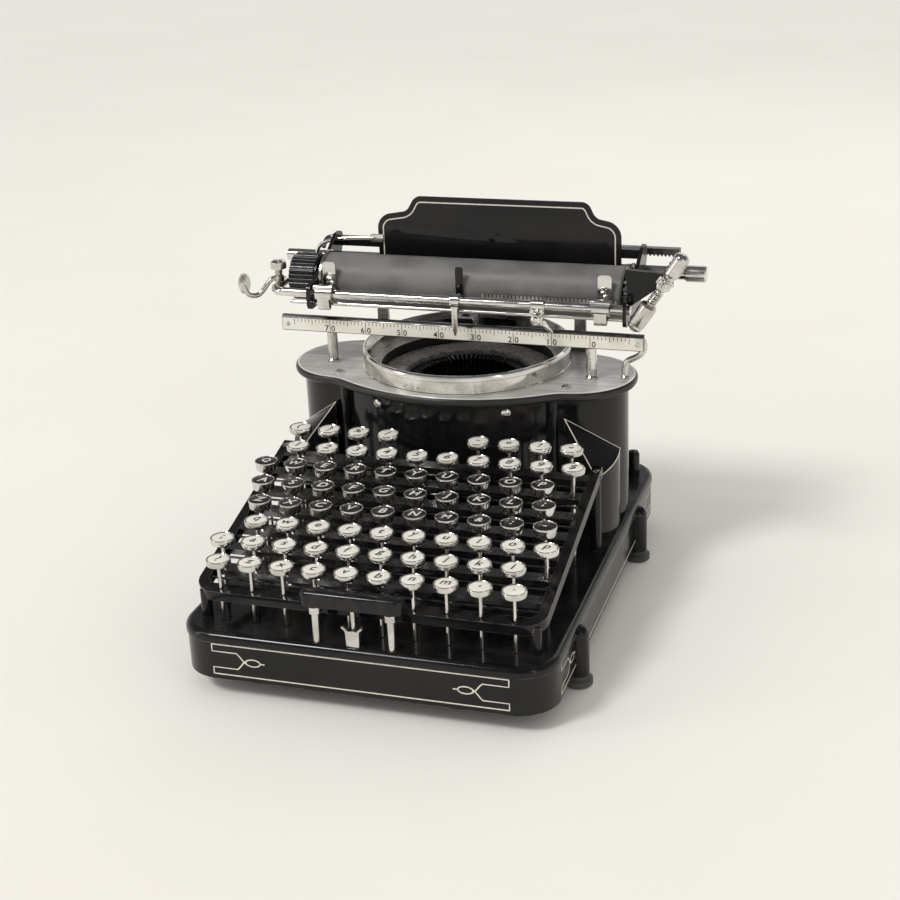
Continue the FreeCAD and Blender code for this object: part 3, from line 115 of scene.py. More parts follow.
def buildEdgeWear():
    # bare rubbed edges, found where the rounded normal leaves the true one
    group, start, end = newGroup("edgeWear", {"Reach": 0.0006, "Breakup": 220.0}, ["Mask"])
    rounded = group.nodes.new("ShaderNodeBevel")
    rounded.samples = 4
    feed(group, rounded, Radius=start.outputs["Reach"])
    true = group.nodes.new("ShaderNodeNewGeometry")
    dot = group.nodes.new("ShaderNodeVectorMath")
    dot.operation = "DOT_PRODUCT"
    for place, node in enumerate((rounded, true)):
        group.links.new(node.outputs["Normal"], dot.inputs[place])
    apart = mathNode(group, "SUBTRACT", 1.0, dot.outputs["Value"])
    patch = ramp(group, noise(group, start.outputs["Breakup"], 3.0), 0.38, 0.62)
    edge = ramp(group, apart, 0.02, 0.20)
    feed(group, end, Mask=mathNode(group, "MULTIPLY", edge, patch))
    return group


def buildGrain():
    # a fine even mottle for colour, roughness and relief
    group, start, end = newGroup("fineGrain", {"Scale": 400.0, "Blotch Scale": 30.0}, ["Grain", "Blotch"])
    blotch = ramp(group, noise(group, start.outputs["Blotch Scale"], 4.0), 0.35, 0.65)
    feed(group, end, Grain=noise(group, start.outputs["Scale"], 2.0), Blotch=blotch)
    return group


def buildBrushed():
    # long fine scratches along X
    group, start, end = newGroup("brushedLines", {"Fineness": 900.0}, ["Line"])
    feed(group, end, Line=noise(group, start.outputs["Fineness"], 2.0, (0.02, 1.0, 1.0), 0.6))
    return group


def buildDust():
    # thin dust on what faces up
    group, start, end = newGroup("restingDust", {"Amount": 0.15}, ["Mask"])
    up = ramp(group, heightIn(group, "Normal"), 0.55, 0.98)
    patch = ramp(group, noise(group, 60.0, 5.0), 0.42, 0.75)
    both = mathNode(group, "MULTIPLY", up, patch)
    feed(group, end, Mask=mathNode(group, "MULTIPLY", both, start.outputs["Amount"]))
    return group


def buildFacing():
    # one on what lies level, nothing on walls and rolled rims; a second mask takes the band where a level top
    # starts to roll over. The plate's painted shade and painted highlight are laid out with these
    group, _, end = newGroup("facingUp", {}, ["Up", "Shoulder"])
    facing = heightIn(group, "Normal")
    rise = ramp(group, facing, 0.86, 0.94)
    fall = ramp(group, facing, 0.985, 0.999, (1.0, 0.0))
    shoulder = mathNode(group, "MULTIPLY", rise, fall)
    feed(group, end, Up=ramp(group, facing, 0.80, 0.97), Shoulder=shoulder)
    return group


shared = {
    "wear": buildEdgeWear(),
    "facing": buildFacing(),
    "grain": buildGrain(),
    "brushed": buildBrushed(),
    "dust": buildDust(),
}
print("shader groups ready")


# finishes

def addGroup(tree, name, **values):
    node = tree.nodes.new("ShaderNodeGroup")
    node.node_tree = shared[name]
    feed(tree, node, **values)
    return node


def newFinish(name):
    material = bpy.data.materials.new(name)
    material.use_nodes = True
    tree = material.node_tree
    return material, tree, tree.nodes["Principled BSDF"]


def addBump(tree, shader, height, depth):
    bump = tree.nodes.new("ShaderNodeBump")
    feed(tree, bump, Height=height, Distance=depth, Strength=1.0)
    feed(tree, shader, Normal=bump.outputs["Normal"])


def mottled(name, look):
    # what most finishes start from: two colours and two gloss levels in soft patches
    material, tree, shader = newFinish(name)
    grain = addGroup(tree, "grain", Scale=look["grain"], Blotch_Scale=look["blotch"])
    base = blendColour(tree, grain.outputs["Blotch"], look["colour"], look["second"])
    rough = ramp(tree, grain.outputs["Blotch"], 0.0, 1.0, look["rough"])
    return material, tree, shader, grain.outputs["Grain"], base, rough


def paintFinish(name, look):
    # enamel over iron: deep gloss, slight orange peel, rubbed edges and a little dust
    material, tree, shader, grain, base, rough = mottled(name, look)
    wear = addGroup(tree, "wear", Reach=look["wearReach"], Breakup=look["breakup"])
    dust = addGroup(tree, "dust", Amount=look["dust"])
    worn = blendColour(tree, wear.outputs["Mask"], base, look["bare"])
    dusty = blendColour(tree, dust.outputs["Mask"], worn, look["dustColour"])
    roughWorn = mathNode(tree, "ADD", rough, mathNode(tree, "MULTIPLY", wear.outputs["Mask"], 0.15))
    roughDust = mathNode(tree, "ADD", roughWorn, mathNode(tree, "MULTIPLY", dust.outputs["Mask"], 0.8))
    bared = mathNode(tree, "MULTIPLY", wear.outputs["Mask"], 0.8)
    feed(tree, shader, Base_Color=dusty, Roughness=roughDust, Metallic=bared, Coat_Weight=look["coat"],
         Coat_Roughness=0.05, Specular_IOR_Level=look["shine"])
    addBump(tree, shader, grain, look["relief"])
    return material


def metalFinish(name, look):
    # plated or plain metal with scratches, finger marks and duller patches
    material, tree, shader, _, base, rough = mottled(name, look)
    lines = addGroup(tree, "brushed", Fineness=look["fineness"])
    wear = addGroup(tree, "wear", Reach=look["wearReach"], Breakup=look["breakup"])
    streak = ramp(tree, lines.outputs["Line"], 0.3, 0.7, look["streak"])
    brushed = blendColour(tree, 1.0, base, streak, "MULTIPLY")
    wearShadeAndHighlight = blendColour(tree, wear.outputs["Mask"], brushed, look["edge"])
    if "rim" in look:
        # painted shade: walls and the rolled rim take the dark rim colour and only what faces up keeps the
        # metal colour; a painted highlight in the edge colour runs along the band where the top rolls over
        top = addGroup(tree, "facing")
        wearShadeAndHighlight = blendColour(tree, top.outputs["Up"], look["rim"], wearShadeAndHighlight)
        wearShadeAndHighlight = blendColour(tree, top.outputs["Shoulder"], wearShadeAndHighlight, look["edge"])
    feed(tree, shader, Base_Color=wearShadeAndHighlight, Roughness=rough, Metallic=look["metallic"])
    addBump(tree, shader, lines.outputs["Line"], look["relief"])
    return material


def topFinish(name, look):
    # celluloid, hard rubber and other moulded stuff
    material, tree, shader, grain, base, rough = mottled(name, look)
    dust = addGroup(tree, "dust", Amount=look["dust"])
    dusty = blendColour(tree, dust.outputs["Mask"], base, look["dustColour"])
    feed(tree, shader, Base_Color=dusty, Roughness=rough, Coat_Weight=look["coat"],
         Specular_IOR_Level=look.get("shine", 0.5))
    addBump(tree, shader, grain, look["relief"])
    return material


japan = dict(colour=(0.005, 0.005, 0.006), second=(0.010, 0.009, 0.009), bare=(0.30, 0.26, 0.21),
             dustColour=(0.16, 0.145, 0.12), rough=(0.10, 0.20), coat=0.06, shine=0.30, grain=900.0,
             blotch=22.0, relief=0.00001, wearReach=0.0006, breakup=160.0, dust=0.10)
nickel = dict(colour=(0.80, 0.785, 0.75), second=(0.60, 0.575, 0.53), edge=(0.88, 0.86, 0.81),
              streak=(0.86, 1.0), rough=(0.08, 0.22), metallic=1.0, grain=500.0, blotch=60.0,
              fineness=1500.0, relief=0.00001, wearReach=0.0005, breakup=120.0)
# on the plate, rim is the painted shade of its walls and rolled rim, and edge is both the rubbed-edge colour
# and the painted highlight along the rim
plate = dict(colour=(0.76, 0.745, 0.71), second=(0.64, 0.625, 0.59), edge=(0.90, 0.88, 0.83),
             rim=(0.030, 0.029, 0.028), streak=(0.66, 1.0), rough=(0.30, 0.44), metallic=0.40,
             grain=500.0, blotch=40.0, fineness=1100.0, relief=0.00003, wearReach=0.0009, breakup=60.0)
steel = dict(colour=(0.30, 0.295, 0.29), second=(0.16, 0.155, 0.15), edge=(0.55, 0.53, 0.50),
             streak=(0.70, 1.0), rough=(0.20, 0.36), metallic=1.0, grain=500.0, blotch=90.0,
             fineness=1300.0, relief=0.00002, wearReach=0.0004, breakup=200.0)
ivory = dict(colour=(0.90, 0.87, 0.79), second=(0.84, 0.80, 0.70), dustColour=(0.60, 0.55, 0.47),
             rough=(0.20, 0.34), coat=0.3, grain=700.0, blotch=120.0, relief=0.00001, dust=0.08)
ebonite = dict(colour=(0.007, 0.007, 0.008), second=(0.016, 0.014, 0.013), dustColour=(0.12, 0.11, 0.10),
               rough=(0.14, 0.26), coat=0.05, shine=0.32, grain=700.0, blotch=150.0, relief=0.00001,
               dust=0.08)
rubber = dict(colour=(0.050, 0.050, 0.051), second=(0.085, 0.084, 0.082), dustColour=(0.20, 0.19, 0.17),
              rough=(0.40, 0.58), coat=0.0, grain=900.0, blotch=35.0, relief=0.00004, dust=0.15)
platenRubber = dict(rubber, colour=(0.12, 0.118, 0.115), second=(0.18, 0.177, 0.17))
felt = dict(colour=(0.16, 0.15, 0.15), second=(0.30, 0.285, 0.275), dustColour=(0.36, 0.34, 0.32),
            rough=(0.85, 0.98), coat=0.0, grain=1500.0, blotch=300.0, relief=0.0004, dust=0.20)
scale = dict(colour=(0.88, 0.85, 0.76), second=(0.81, 0.77, 0.66), dustColour=(0.62, 0.58, 0.50),
             rough=(0.26, 0.40), coat=0.2, grain=700.0, blotch=45.0, relief=0.00001, dust=0.08)

finishes = {
    "black_japan": paintFinish("blackJapan", japan),
    "nickel": metalFinish("wornNickel", nickel),
    "satin_plate": metalFinish("brushedPlate", plate),
    "steel": metalFinish("oiledSteel", steel),
    "ivory_keys": topFinish("ivoryCelluloid", ivory),
    "black_keys": topFinish("blackHardRubber", ebonite),
    "rubber": topFinish("agedRubber", rubber),
    "inked_felt": topFinish("inkedFelt", felt),
    "scale_ivory": topFinish("scaleIvory", scale),
}
for node in nodes.values():
    for place in node.material_slots:
        place.material = finishes[place.material.name.split(".")[0]]
nodes["platen"].material_slots[0].material = topFinish("rolledRubber", platenRubber)
print("finishes on", len(nodes), "nodes")


# building helpers: shapes are made in millimetres and scaled when a piece is finished

def at(x, y, z):
    return Matrix.Translation((x, y, z))


def turned(degrees, axis="Z"):
    return Matrix.Rotation(math.radians(degrees), 4, axis)


alongX, alongY, upright = turned(90, "Y"), turned(-90, "X"), turned(90, "X")


def moved(shape, matrix):
    bmesh.ops.transform(shape, matrix=matrix, verts=shape.verts)
    return shape


def faceOut(shape):
    bmesh.ops.remove_doubles(shape, verts=shape.verts, dist=0.0005)
    bmesh.ops.recalc_face_normals(shape, faces=shape.faces)
    return shape


def spun(profile, steps=32):
    # a turned shape about Z; the profile is (radius, height) from one end to the other
    shape = bmesh.new()
    chain = [shape.verts.new((radius, 0.0, height)) for radius, height in profile]
    run = [shape.edges.new(pair) for pair in zip(chain, chain[1:])]
    bmesh.ops.spin(shape, geom=chain + run, cent=(0, 0, 0), axis=(0, 0, 1), angle=2 * math.pi,
                   steps=steps, use_merge=True)
    return faceOut(shape)


def softened(shape, width, segments=2, test=None):
    edges = [edge for edge in shape.edges if test is None or test(edge)]
    bmesh.ops.bevel(shape, geom=edges, offset=width, offset_type="OFFSET", segments=segments,
                    profile=0.5, material=-1, affect="EDGES")
    return shape


def block(size, place, bevel=0.3, segments=2):
    shape = bmesh.new()
    bmesh.ops.create_cube(shape, size=1.0)
    bmesh.ops.scale(shape, vec=size, verts=shape.verts)
    if bevel:
        softened(shape, bevel, segments)
    return moved(shape, place)


def plateShape(corners, rounds=()):
    # one flat face in XY; rounds names (corner numbers, reach, segments) to round off
    shape = bmesh.new()
    points = [shape.verts.new((x, y, 0.0)) for x, y in corners]
    shape.faces.new(points)
    for numbers, reach, segments in rounds:
        bmesh.ops.bevel(shape, geom=[points[i] for i in numbers], offset=reach, offset_type="OFFSET",
                        segments=segments, profile=0.5, material=-1, affect="VERTICES")
    return shape


def thickened(shape, thickness, along=(0, 0, 1)):
    grown = bmesh.ops.extrude_face_region(shape, geom=list(shape.faces))
    tops = [item for item in grown["geom"] if isinstance(item, bmesh.types.BMVert)]
    bmesh.ops.translate(shape, verts=tops, vec=Vector(along) * thickness)
    bmesh.ops.recalc_face_normals(shape, faces=shape.faces)
    return shape


def isLevel(edge):
    return abs(edge.verts[0].co.z - edge.verts[1].co.z) < 1e-5


def softPlate(corners, rounds, thick, bevel=0.2):
    return softened(thickened(plateShape(corners, rounds), thick), bevel, 2, isLevel)


def fromObject(stand):
    mesh = bpy.data.meshes.new_from_object(stand)
    shape = bmesh.new()
    shape.from_mesh(mesh)
    data = stand.data
    bpy.data.objects.remove(stand)
    bpy.data.curves.remove(data)
    bpy.data.meshes.remove(mesh)
    return faceOut(shape)


def wire(points, radius, smooth=True, closed=False, sides=3):
    # a round wire that follows the points
    curve = bpy.data.curves.new("wirePath", "CURVE")
    curve.dimensions = "3D"
    curve.bevel_depth = radius
    curve.bevel_resolution = sides
    curve.resolution_u = 8
    curve.use_fill_caps = not closed
    spline = curve.splines.new("NURBS" if smooth else "POLY")
    spline.points.add(len(points) - 1)
    for point, (x, y, z) in zip(spline.points, points):
        point.co = (x, y, z, 1.0)
    spline.use_cyclic_u = closed
    if smooth:
        spline.order_u = 3
        spline.use_endpoint_u = not closed
    return fromObject(bpy.data.objects.new("wirePath", curve))


def lettering(text, size, slant=0.0, weight=0.0, depth=0.12):
    # a word or figure lying in XY, centred on the origin
    curve = bpy.data.curves.new("lettering", "FONT")
    curve.body = text
    curve.size = size
    curve.shear = slant
    curve.offset = weight
    curve.extrude = depth / 2
    curve.resolution_u = 3
    shape = fromObject(bpy.data.objects.new("lettering", curve))
    xs = [vert.co.x for vert in shape.verts]
    ys = [vert.co.y for vert in shape.verts]
    return moved(shape, at(-(min(xs) + max(xs)) / 2, -(min(ys) + max(ys)) / 2, 0))


def joined(parts):
    whole = bmesh.new()
    for part in parts:
        mesh = bpy.data.meshes.new("part")
        part.to_mesh(mesh)
        part.free()
        whole.from_mesh(mesh)
        bpy.data.meshes.remove(mesh)
    return whole


def finishPiece(name, parts, slotName, body, replaced=(), sharp=32.0, finish=None):
    whole = joined(parts)
    bmesh.ops.scale(whole, vec=(mm, mm, mm), verts=whole.verts)
    mesh = bpy.data.meshes.new(name)
    whole.to_mesh(mesh)
    whole.free()
    mesh.materials.append(finish or finishes[slotName])
    mesh.shade_smooth()
    mesh.set_sharp_from_angle(angle=math.radians(sharp))
    piece = bpy.data.objects.new(name, mesh)
    bpy.context.collection.objects.link(piece)
    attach(piece, body)
    if replaced:
        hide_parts(*replaced)
    return piece


def knurled(radius, length, around, along, depth):
    # a grip whose crossed cuts leave small points
    shape = spun([(radius, length * i / along) for i in range(along + 1)], around)
    step = 2 * math.pi / around
    for vert in shape.verts:
        ringNumber = round(vert.co.z * along / length)
        spoke = round(math.atan2(vert.co.y, vert.co.x) / step)
        if (ringNumber + spoke) % 2:
            vert.co.x *= 1 - depth / radius
            vert.co.y *= 1 - depth / radius
    ends = [edge for edge in shape.edges if edge.is_boundary]
    bmesh.ops.holes_fill(shape, edges=ends, sides=around)
    return faceOut(shape)


def fluted(radius, length, count, depth):
    # a round bar with straight cuts along it
    shape = bmesh.new()
    bmesh.ops.create_cone(shape, cap_ends=True, cap_tris=False, segments=count * 4, radius1=radius,
                          radius2=radius, depth=length)
    step = 2 * math.pi / (count * 4)
    for vert in shape.verts:
        if round(math.atan2(vert.co.y, vert.co.x) / step) % 4 == 0:
            vert.co.x *= 1 - depth / radius
            vert.co.y *= 1 - depth / radius
    return moved(shape, at(0, 0, length / 2))


def screwHead(radius, height, slotWidth):
    # a domed head in two halves either side of its slot, on a thin seat
    seat = spun([(0, 0), (radius, 0), (radius, height * 0.35), (0, height * 0.35)], 24)
    dome = spun([(0, height * 0.3), (radius, height * 0.3), (radius * 0.97, height * 0.55),
                 (radius * 0.7, height * 0.88), (radius * 0.35, height * 0.98), (0, height)], 24)
    cut = bmesh.ops.bisect_plane(dome, geom=dome.verts[:] + dome.edges[:] + dome.faces[:],
                                 plane_co=(slotWidth / 2, 0, 0), plane_no=(1, 0, 0), clear_inner=True)
    rim = [item for item in cut["geom_cut"] if isinstance(item, bmesh.types.BMEdge)]
    bmesh.ops.holes_fill(dome, edges=rim, sides=0)
    faceOut(dome)
    other = dome.copy()
    moved(other, turned(180))
    return joined([seat, dome, other])


def inkFinish(name, colour, rough):
    # filled letters and printed lines, a little uneven
    material, tree, shader = newFinish(name)
    grain = addGroup(tree, "grain", Scale=1200.0, Blotch_Scale=400.0)
    faded = tuple(min(1.0, part * 0.82 + 0.015) for part in colour)
    feed(tree, shader, Base_Color=blendColour(tree, grain.outputs["Blotch"], colour, faded),
         Roughness=rough)
    addBump(tree, shader, grain.outputs["Grain"], 0.000005)
    return material


darkInk = inkFinish("darkInk", (0.012, 0.012, 0.014), 0.4)
paleInk = inkFinish("paleInk", (0.80, 0.77, 0.68), 0.4)
# pale ink for the pinstripes and for the painted highlight lines on the shoulder covers
stripeAndHighlightInk = inkFinish("paleStripeAndHighlight", (0.78, 0.74, 0.62), 0.35)


# pale pinstripes on the base and paper rest; the same pale lines on the shoulder covers are painted
# highlights
def paintedLines(name, lines, body="stand"):
    finishPiece(name, lines, "ivory_keys", body, sharp=60.0, finish=stripeAndHighlightInk)


# keys: turned cups, tops, stems and generic legends

keys = dict(pitch=20.0, depth=19.0, rise=4.5, frontY=-135.0, topZ=83.0, radius=7.4, rim=1.2, stem=1.2,
            frontStemLow=28.6, stemLow=38.5, whiteLow=-4.5, blackLow=-6.5, sunk=0.14, wideSize=0.84,
            shifts=(0, -5.6, 8.8, 3.2, -2.4, -8.0, 6.4, 0.8), letter=8.6, slant=0.2, weight=0.13)
legends = (
    "?zxcvbnm,.",
    ";asdfghjkl",
    "qwertyuiop",
    "ZXCVBNM&:-",
    "ASDFGHJKL;",
    "QWERTYUIOP",
    "123456789$",
    "()%/  -*!\"",
)
blackRows = (3, 4, 5)


def keyCup(black, low):
    wide = keys["radius"]
    if black:
        return spun([(0, low), (5.2, low), (6.4, -6.1), (6.8, -5.2), (6.95, -1.3), (6.6, -0.9),
                     (0, -0.9)], 24)
    return spun([(0, low), (4.6, low), (6.4, -4.2), (wide - 0.15, -3.6), (wide, -3.2), (wide, -0.55),
                 (wide - 0.25, -0.1), (wide - 0.6, 0), (wide - 0.85, -0.3), (wide - 0.9, -1.1),
                 (0, -1.1)], 28)


def keyRim():
    wide = keys["radius"]
    return spun([(6.5, -1.5), (wide - 0.1, -1.4), (wide, -0.7), (wide - 0.2, -0.1), (wide - 0.6, 0),
                 (wide - 0.85, -0.3), (6.4, -0.9), (6.5, -1.5)], 28)


def keyTop():
    wide = keys["radius"] - keys["rim"]
    return spun([(0, -0.12), (wide * 0.7, -0.16), (wide * 0.93, -0.24), (wide, -0.36), (wide, -1.05),
                 (0, -1.05)], 28)


def keyStem(low, capLow):
    stem = keys["stem"]
    return spun([(0, low), (stem, low), (stem, capLow - 2.6), (stem + 1.3, capLow - 1.9),
                 (stem + 1.6, capLow - 0.6), (stem + 1.0, capLow), (0, capLow)], 10)


def buildKeys():
    for row, text in enumerate(legends):
        black = row in blackRows
        slotName = "black_keys" if black else "ivory_keys"
        capLow = keys["blackLow"] if black else keys["whiteLow"]
        number = len(legends) - row
        top = keys["topZ"] + keys["rise"] * row
        y = keys["frontY"] + keys["depth"] * row
        stemLow = keys["frontStemLow"] if row == 0 else keys["stemLow"]
        metal, tops, marks = [], [], []
        for column, letter in enumerate(text):
            if letter == " ":
                continue
            x = (column - 4.5) * keys["pitch"] + keys["shifts"][row]
            here = at(x, y, top)
            metal.append(moved(keyStem(stemLow - top, capLow), here))
            metal.append(moved(keyCup(black, capLow), here))
            if black:
                metal.append(moved(keyRim(), here))
            tops.append(moved(keyTop(), here))
            size = keys["letter"] * (keys["wideSize"] if letter in "QWM&%" else 1.0)
            mark = lettering(letter, size, keys["slant"], keys["weight"])
            marks.append(moved(mark, at(x, y, top - keys["sunk"])))
        body = "keys_row_%d" % number
        finishPiece("key_tops_row_%d" % number, tops, slotName, body, ("key_row_%d" % number,))
        finishPiece("key_cups_row_%d" % number, metal, "nickel", body)
        ink = paleInk if black else darkInk
        markSlot = "ivory_keys" if black else "black_keys"
        finishPiece("key_legends_row_%d" % number, marks, markSlot, body, sharp=50.0, finish=ink)


buildKeys()
print("keys built")


# scale: bevelled bar with divisions and plain numbers

scaleLook = dict(reach=123.5, y=61.0, thick=4.0, low=158.0, high=168.5, unit=2.54, zeroX=88.9, last=70,
                 short=2.1, middle=3.4, long=4.2, figure=5.6, figureStep=4.4, screwX=119.5)


def buildScale():
    look = scaleLook
    length, height, centre = 2 * look["reach"], look["high"] - look["low"], (look["high"] + look["low"]) / 2
    bar = block((length, look["thick"], height), at(0, look["y"], centre), 0)
    softened(bar, 1.5, 1, lambda edge: edge.calc_length() > 200 and edge.verts[0].co.z > look["high"] - 1
             and edge.verts[0].co.y < look["y"])
    softened(bar, 0.25, 2)
    finishPiece("scale_back", [bar], "scale_ivory", "stand", ("scale_bar",), finish=finishes["steel"])
    front = look["y"] - look["thick"] / 2 - 0.12
    face = block((length - 0.8, 0.5, height - 2.1), at(0, front + 0.25, centre - 0.75), 0.1, 1)
    finishPiece("scale_face", [face], "scale_ivory", "stand")
    marks = []
    edgeTop = look["high"] - 2.0
    for i in range(-10, 81):
        x = look["zeroX"] - i * look["unit"]
        if i % 10 == 0:
            drop = edgeTop - look["low"] - 0.6 if 0 <= i <= look["last"] else look["long"]
        else:
            drop = look["middle"] if i % 5 == 0 else look["short"]
        marks.append(block((0.36, 0.1, drop), at(x, front, edgeTop - drop / 2), 0))
    for number in range(0, look["last"] + 1, 10):
        x = look["zeroX"] - number * look["unit"]
        figures = str(number)
        for place, figure in enumerate(figures):
            shift = (place - 0.5) * look["figureStep"] if len(figures) == 2 else 2.4
            mark = lettering(figure, look["figure"], 0.0, 0.07, 0.1)
            marks.append(moved(mark, at(x + shift, front, look["low"] + 3.0) @ upright))
    marks.append(block((length - 3, 0.1, 0.22), at(0, front, look["low"] + 0.45), 0))
    finishPiece("scale_marks", marks, "black_keys", "stand", sharp=50.0, finish=darkInk)
    ends = [moved(screwHead(1.6, 0.9, 0.4), at(side * look["screwX"], front, centre - 0.5) @ upright)
            for side in (-1, 1)]
    finishPiece("scale_screws", ends, "nickel", "stand")


buildScale()
print("scale built")


# pale lining on the base: a double line with a looped knot at each end

lining = dict(width=0.40, flat=0.22, levels=(35.9, 31.2, 20.6, 16.2), reach=90.6, frontY=-153.4, sideX=114.65,
              sideReach=129.0)


def knotFigure(reach):
    # two long lines, at each end returned inwards to a crossing and a loop; drawn in XY
    width = lining["width"]
    top, second, third, bottom = lining["levels"]
    middle = (second + third) / 2
    runs = [wire([(-reach, top, 0), (reach, top, 0)], width, smooth=False),
            wire([(-reach, bottom, 0), (reach, bottom, 0)], width, smooth=False)]
    for side in (-1, 1):
        end = side * reach
        for outer, inner in ((top, second), (bottom, third)):
            lean = math.copysign(0.5, middle - inner)
            path = [(end, outer, 0), (end, inner, 0), (end - side * 15.5, inner, 0),
                    (end - side * 17.0, inner + lean * 3, 0), (end - side * 20.0, middle, 0),
                    (end - side * 22.2, middle + lean * 3.4, 0)]
            runs.append(wire(path, width, smooth=False))
        centre = end - side * 25.6
        loop = [(centre + 4.6 * math.cos(a), middle + 2.3 * math.sin(a), 0)
                for a in (math.pi * i / 8 for i in range(16))]
        runs.append(wire(loop, width, closed=True))
        tail = [(centre - side * out, middle, 0) for out in (4.4, 7.4)]
        runs.append(wire(tail, width, smooth=False))
    figure = joined(runs)
    bmesh.ops.scale(figure, vec=(1, 1, lining["flat"]), verts=figure.verts)
    return figure


def buildLining():
    spots = [(lining["reach"], at(0, side * lining["frontY"], 0)) for side in (1, -1)]
    spots += [(lining["sideReach"], at(side * lining["sideX"], 0, 0) @ turned(90)) for side in (1, -1)]
    paintedLines("base_lining", [moved(knotFigure(reach), spot @ upright) for reach, spot in spots])


buildLining()
print("base lining built")


# paper rest: stepped plate with a pale line inside its edge

rest = dict(left=-67.0, right=100.0, low=197.0, high=242.0, back=104.0, thick=1.6, line=3.5, lineWidth=0.8)


def restOutline():
    shoulder, neck = rest["high"] - 14, rest["high"] - 10.5
    left, right, low, high = rest["left"], rest["right"], rest["low"], rest["high"]
    corners = [(left, low), (right, low), (right, shoulder), (right - 17, neck), (right - 22, high),
               (left + 27, high), (left + 21, neck), (left, shoulder)]
    return plateShape(corners, (((2, 7), 8.6, 10), ((3, 6), 3.2, 6), ((4, 5), 4.0, 6)))


def buildPaperRest():
    stand = at(0, rest["back"], 0) @ upright
    sheet = softened(thickened(restOutline(), rest["thick"]), 0.35, 2, isLevel)
    finishPiece("paper_rest_plate", [moved(sheet, stand)], "black_japan", "carriage", ("paper_rest",))
    line = restOutline()
    for width in (rest["line"], rest["lineWidth"]):
        inset = bmesh.ops.inset_region(line, faces=line.faces[:], thickness=width, use_boundary=True,
                                       use_even_offset=True)
        ring = inset["faces"]
        unwanted = ring if width == rest["line"] else [face for face in line.faces if face not in ring]
        bmesh.ops.delete(line, geom=unwanted, context="FACES")
    foot = [face for face in line.faces if max(vert.co.y for vert in face.verts) < rest["low"] + 6]
    bmesh.ops.delete(line, geom=foot, context="FACES")
    thickened(line, 0.12)
    paintedLines("paper_rest_line", [moved(line, at(0, -rest["thick"], 0) @ stand)], "carriage")


buildPaperRest()
print("paper rest built")


# pad ring, space bar with its stirrup, knob

padRing = dict(inner=64.0, outer=70.0, low=137.0, high=150.5, y=80.0)
platenAxis = (80.0, 190.0)


def buildRing():
    inner, outer, height = padRing["inner"], padRing["outer"], padRing["high"] - padRing["low"]
    profile = [(inner, 0), (outer, 0), (outer, 1.4), (outer - 0.5, 1.8), (outer - 0.5, 9.4), (outer, 9.9),
               (outer, 11.6), (outer - 0.5, 12.8), (outer - 1.5, height), (outer - 2.6, height - 0.1),
               (outer - 3.2, height - 0.9), (inner + 0.3, height - 3.6), (inner, height - 4.2), (inner, 0)]
    band = moved(spun(profile, 96), at(0, padRing["y"], padRing["low"]))
    finishPiece("ring_band", [band], "nickel", "stand", ("pad_ring",), sharp=24.0)


barLook = dict(crown=3.2, foot=2.0)


def buildSpaceBar():
    low, high = (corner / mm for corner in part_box("space_bar"))
    middle, size = (low + high) / 2, high - low
    half = size.y / 2 - 0.02
    side = [(-(size.x / 2 - half) - half * math.sin(a), -half * math.cos(a)) for a in
            (math.pi * i / 12 for i in range(13))]
    other = [(-x, -y) for x, y in side]
    bar = thickened(plateShape(side + other), size.z)
    softened(bar, barLook["crown"], 5, lambda edge: isLevel(edge) and edge.verts[0].co.z > size.z / 2)
    softened(bar, barLook["foot"], 4, lambda edge: max(vert.co.z for vert in edge.verts) < 0.01)
    finishPiece("space_bar_grip", [moved(bar, at(middle.x, middle.y, low.z))], "black_keys", "space_bar_unit",
                ("space_bar",))


stirrupLook = dict(x=-2.5, front=-151.1, low=43.0, half=4.3, wall=1.1, depth=7.0, high=10.4, tip=13.0,
                   flare=2.3, earDepth=3.6)


def buildStirrup():
    # a bent channel with two splayed ears, open behind the link that dips into it
    look = stirrupLook
    half, wall, depth, high = look["half"], look["wall"], look["depth"], look["high"]
    inner = half - wall
    channel = softPlate([(-half, 0), (half, 0), (half, depth), (inner, depth), (inner, wall), (-inner, wall),
                         (-inner, depth), (-half, depth)], (((0, 1), 0.8, 3),), high, 0.15)
    parts = [moved(channel, at(look["x"], look["front"], look["low"]))]
    end = half + look["flare"]
    outline = [(inner, high - 1.2), (half, high - 1.2), (half, high - 0.2), (end, look["tip"] - 0.6),
               (end - 0.8, look["tip"]), (inner, high + 0.5)]
    for side in (-1, 1):
        ear = softPlate([(side * x, z) for x, z in outline], (), look["earDepth"], 0.15)
        parts.append(moved(ear, at(look["x"], look["front"] + look["earDepth"] + 0.1, look["low"]) @ upright))
    finishPiece("space_bar_stirrup_ears", parts, "nickel", "stand", ("space_bar_stirrup",))


knobLook = dict(radius=15.9, flutes=32, fluteDepth=0.8)


def buildKnob():
    low, high = (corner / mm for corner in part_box("platen_knob"))
    length, radius = high.x - low.x, knobLook["radius"]
    centre = at(low.x, *platenAxis) @ alongX
    grip = fluted(radius, length - 3.4, knobLook["flutes"], knobLook["fluteDepth"])
    softened(grip, 0.22, 1)
    cap = spun([(0, -1.6), (6.0, -1.6), (6.6, -1.2), (9.0, -0.9), (radius - 1.6, 0), (radius - 0.7, 0.5),
                (radius - 0.7, 1.2), (0, 1.2)], 48)
    collar = spun([(3.2, 0), (radius - 1.0, 0), (radius - 0.5, 0.5), (radius - 0.5, 1.3), (3.2, 1.3)], 48)
    parts = [moved(grip, centre @ at(0, 0, 1.7)), moved(cap, centre @ at(0, 0, 1.6)),
             moved(collar, centre @ at(0, 0, length - 1.6))]
    finishPiece("knob_grip", parts, "rubber", "platen_unit", ("platen_knob",), finish=finishes["black_keys"])


buildRing()
buildSpaceBar()
buildStirrup()
buildKnob()
print("ring, space bar and knob built")


# bent strips, gears and springs for the carriage

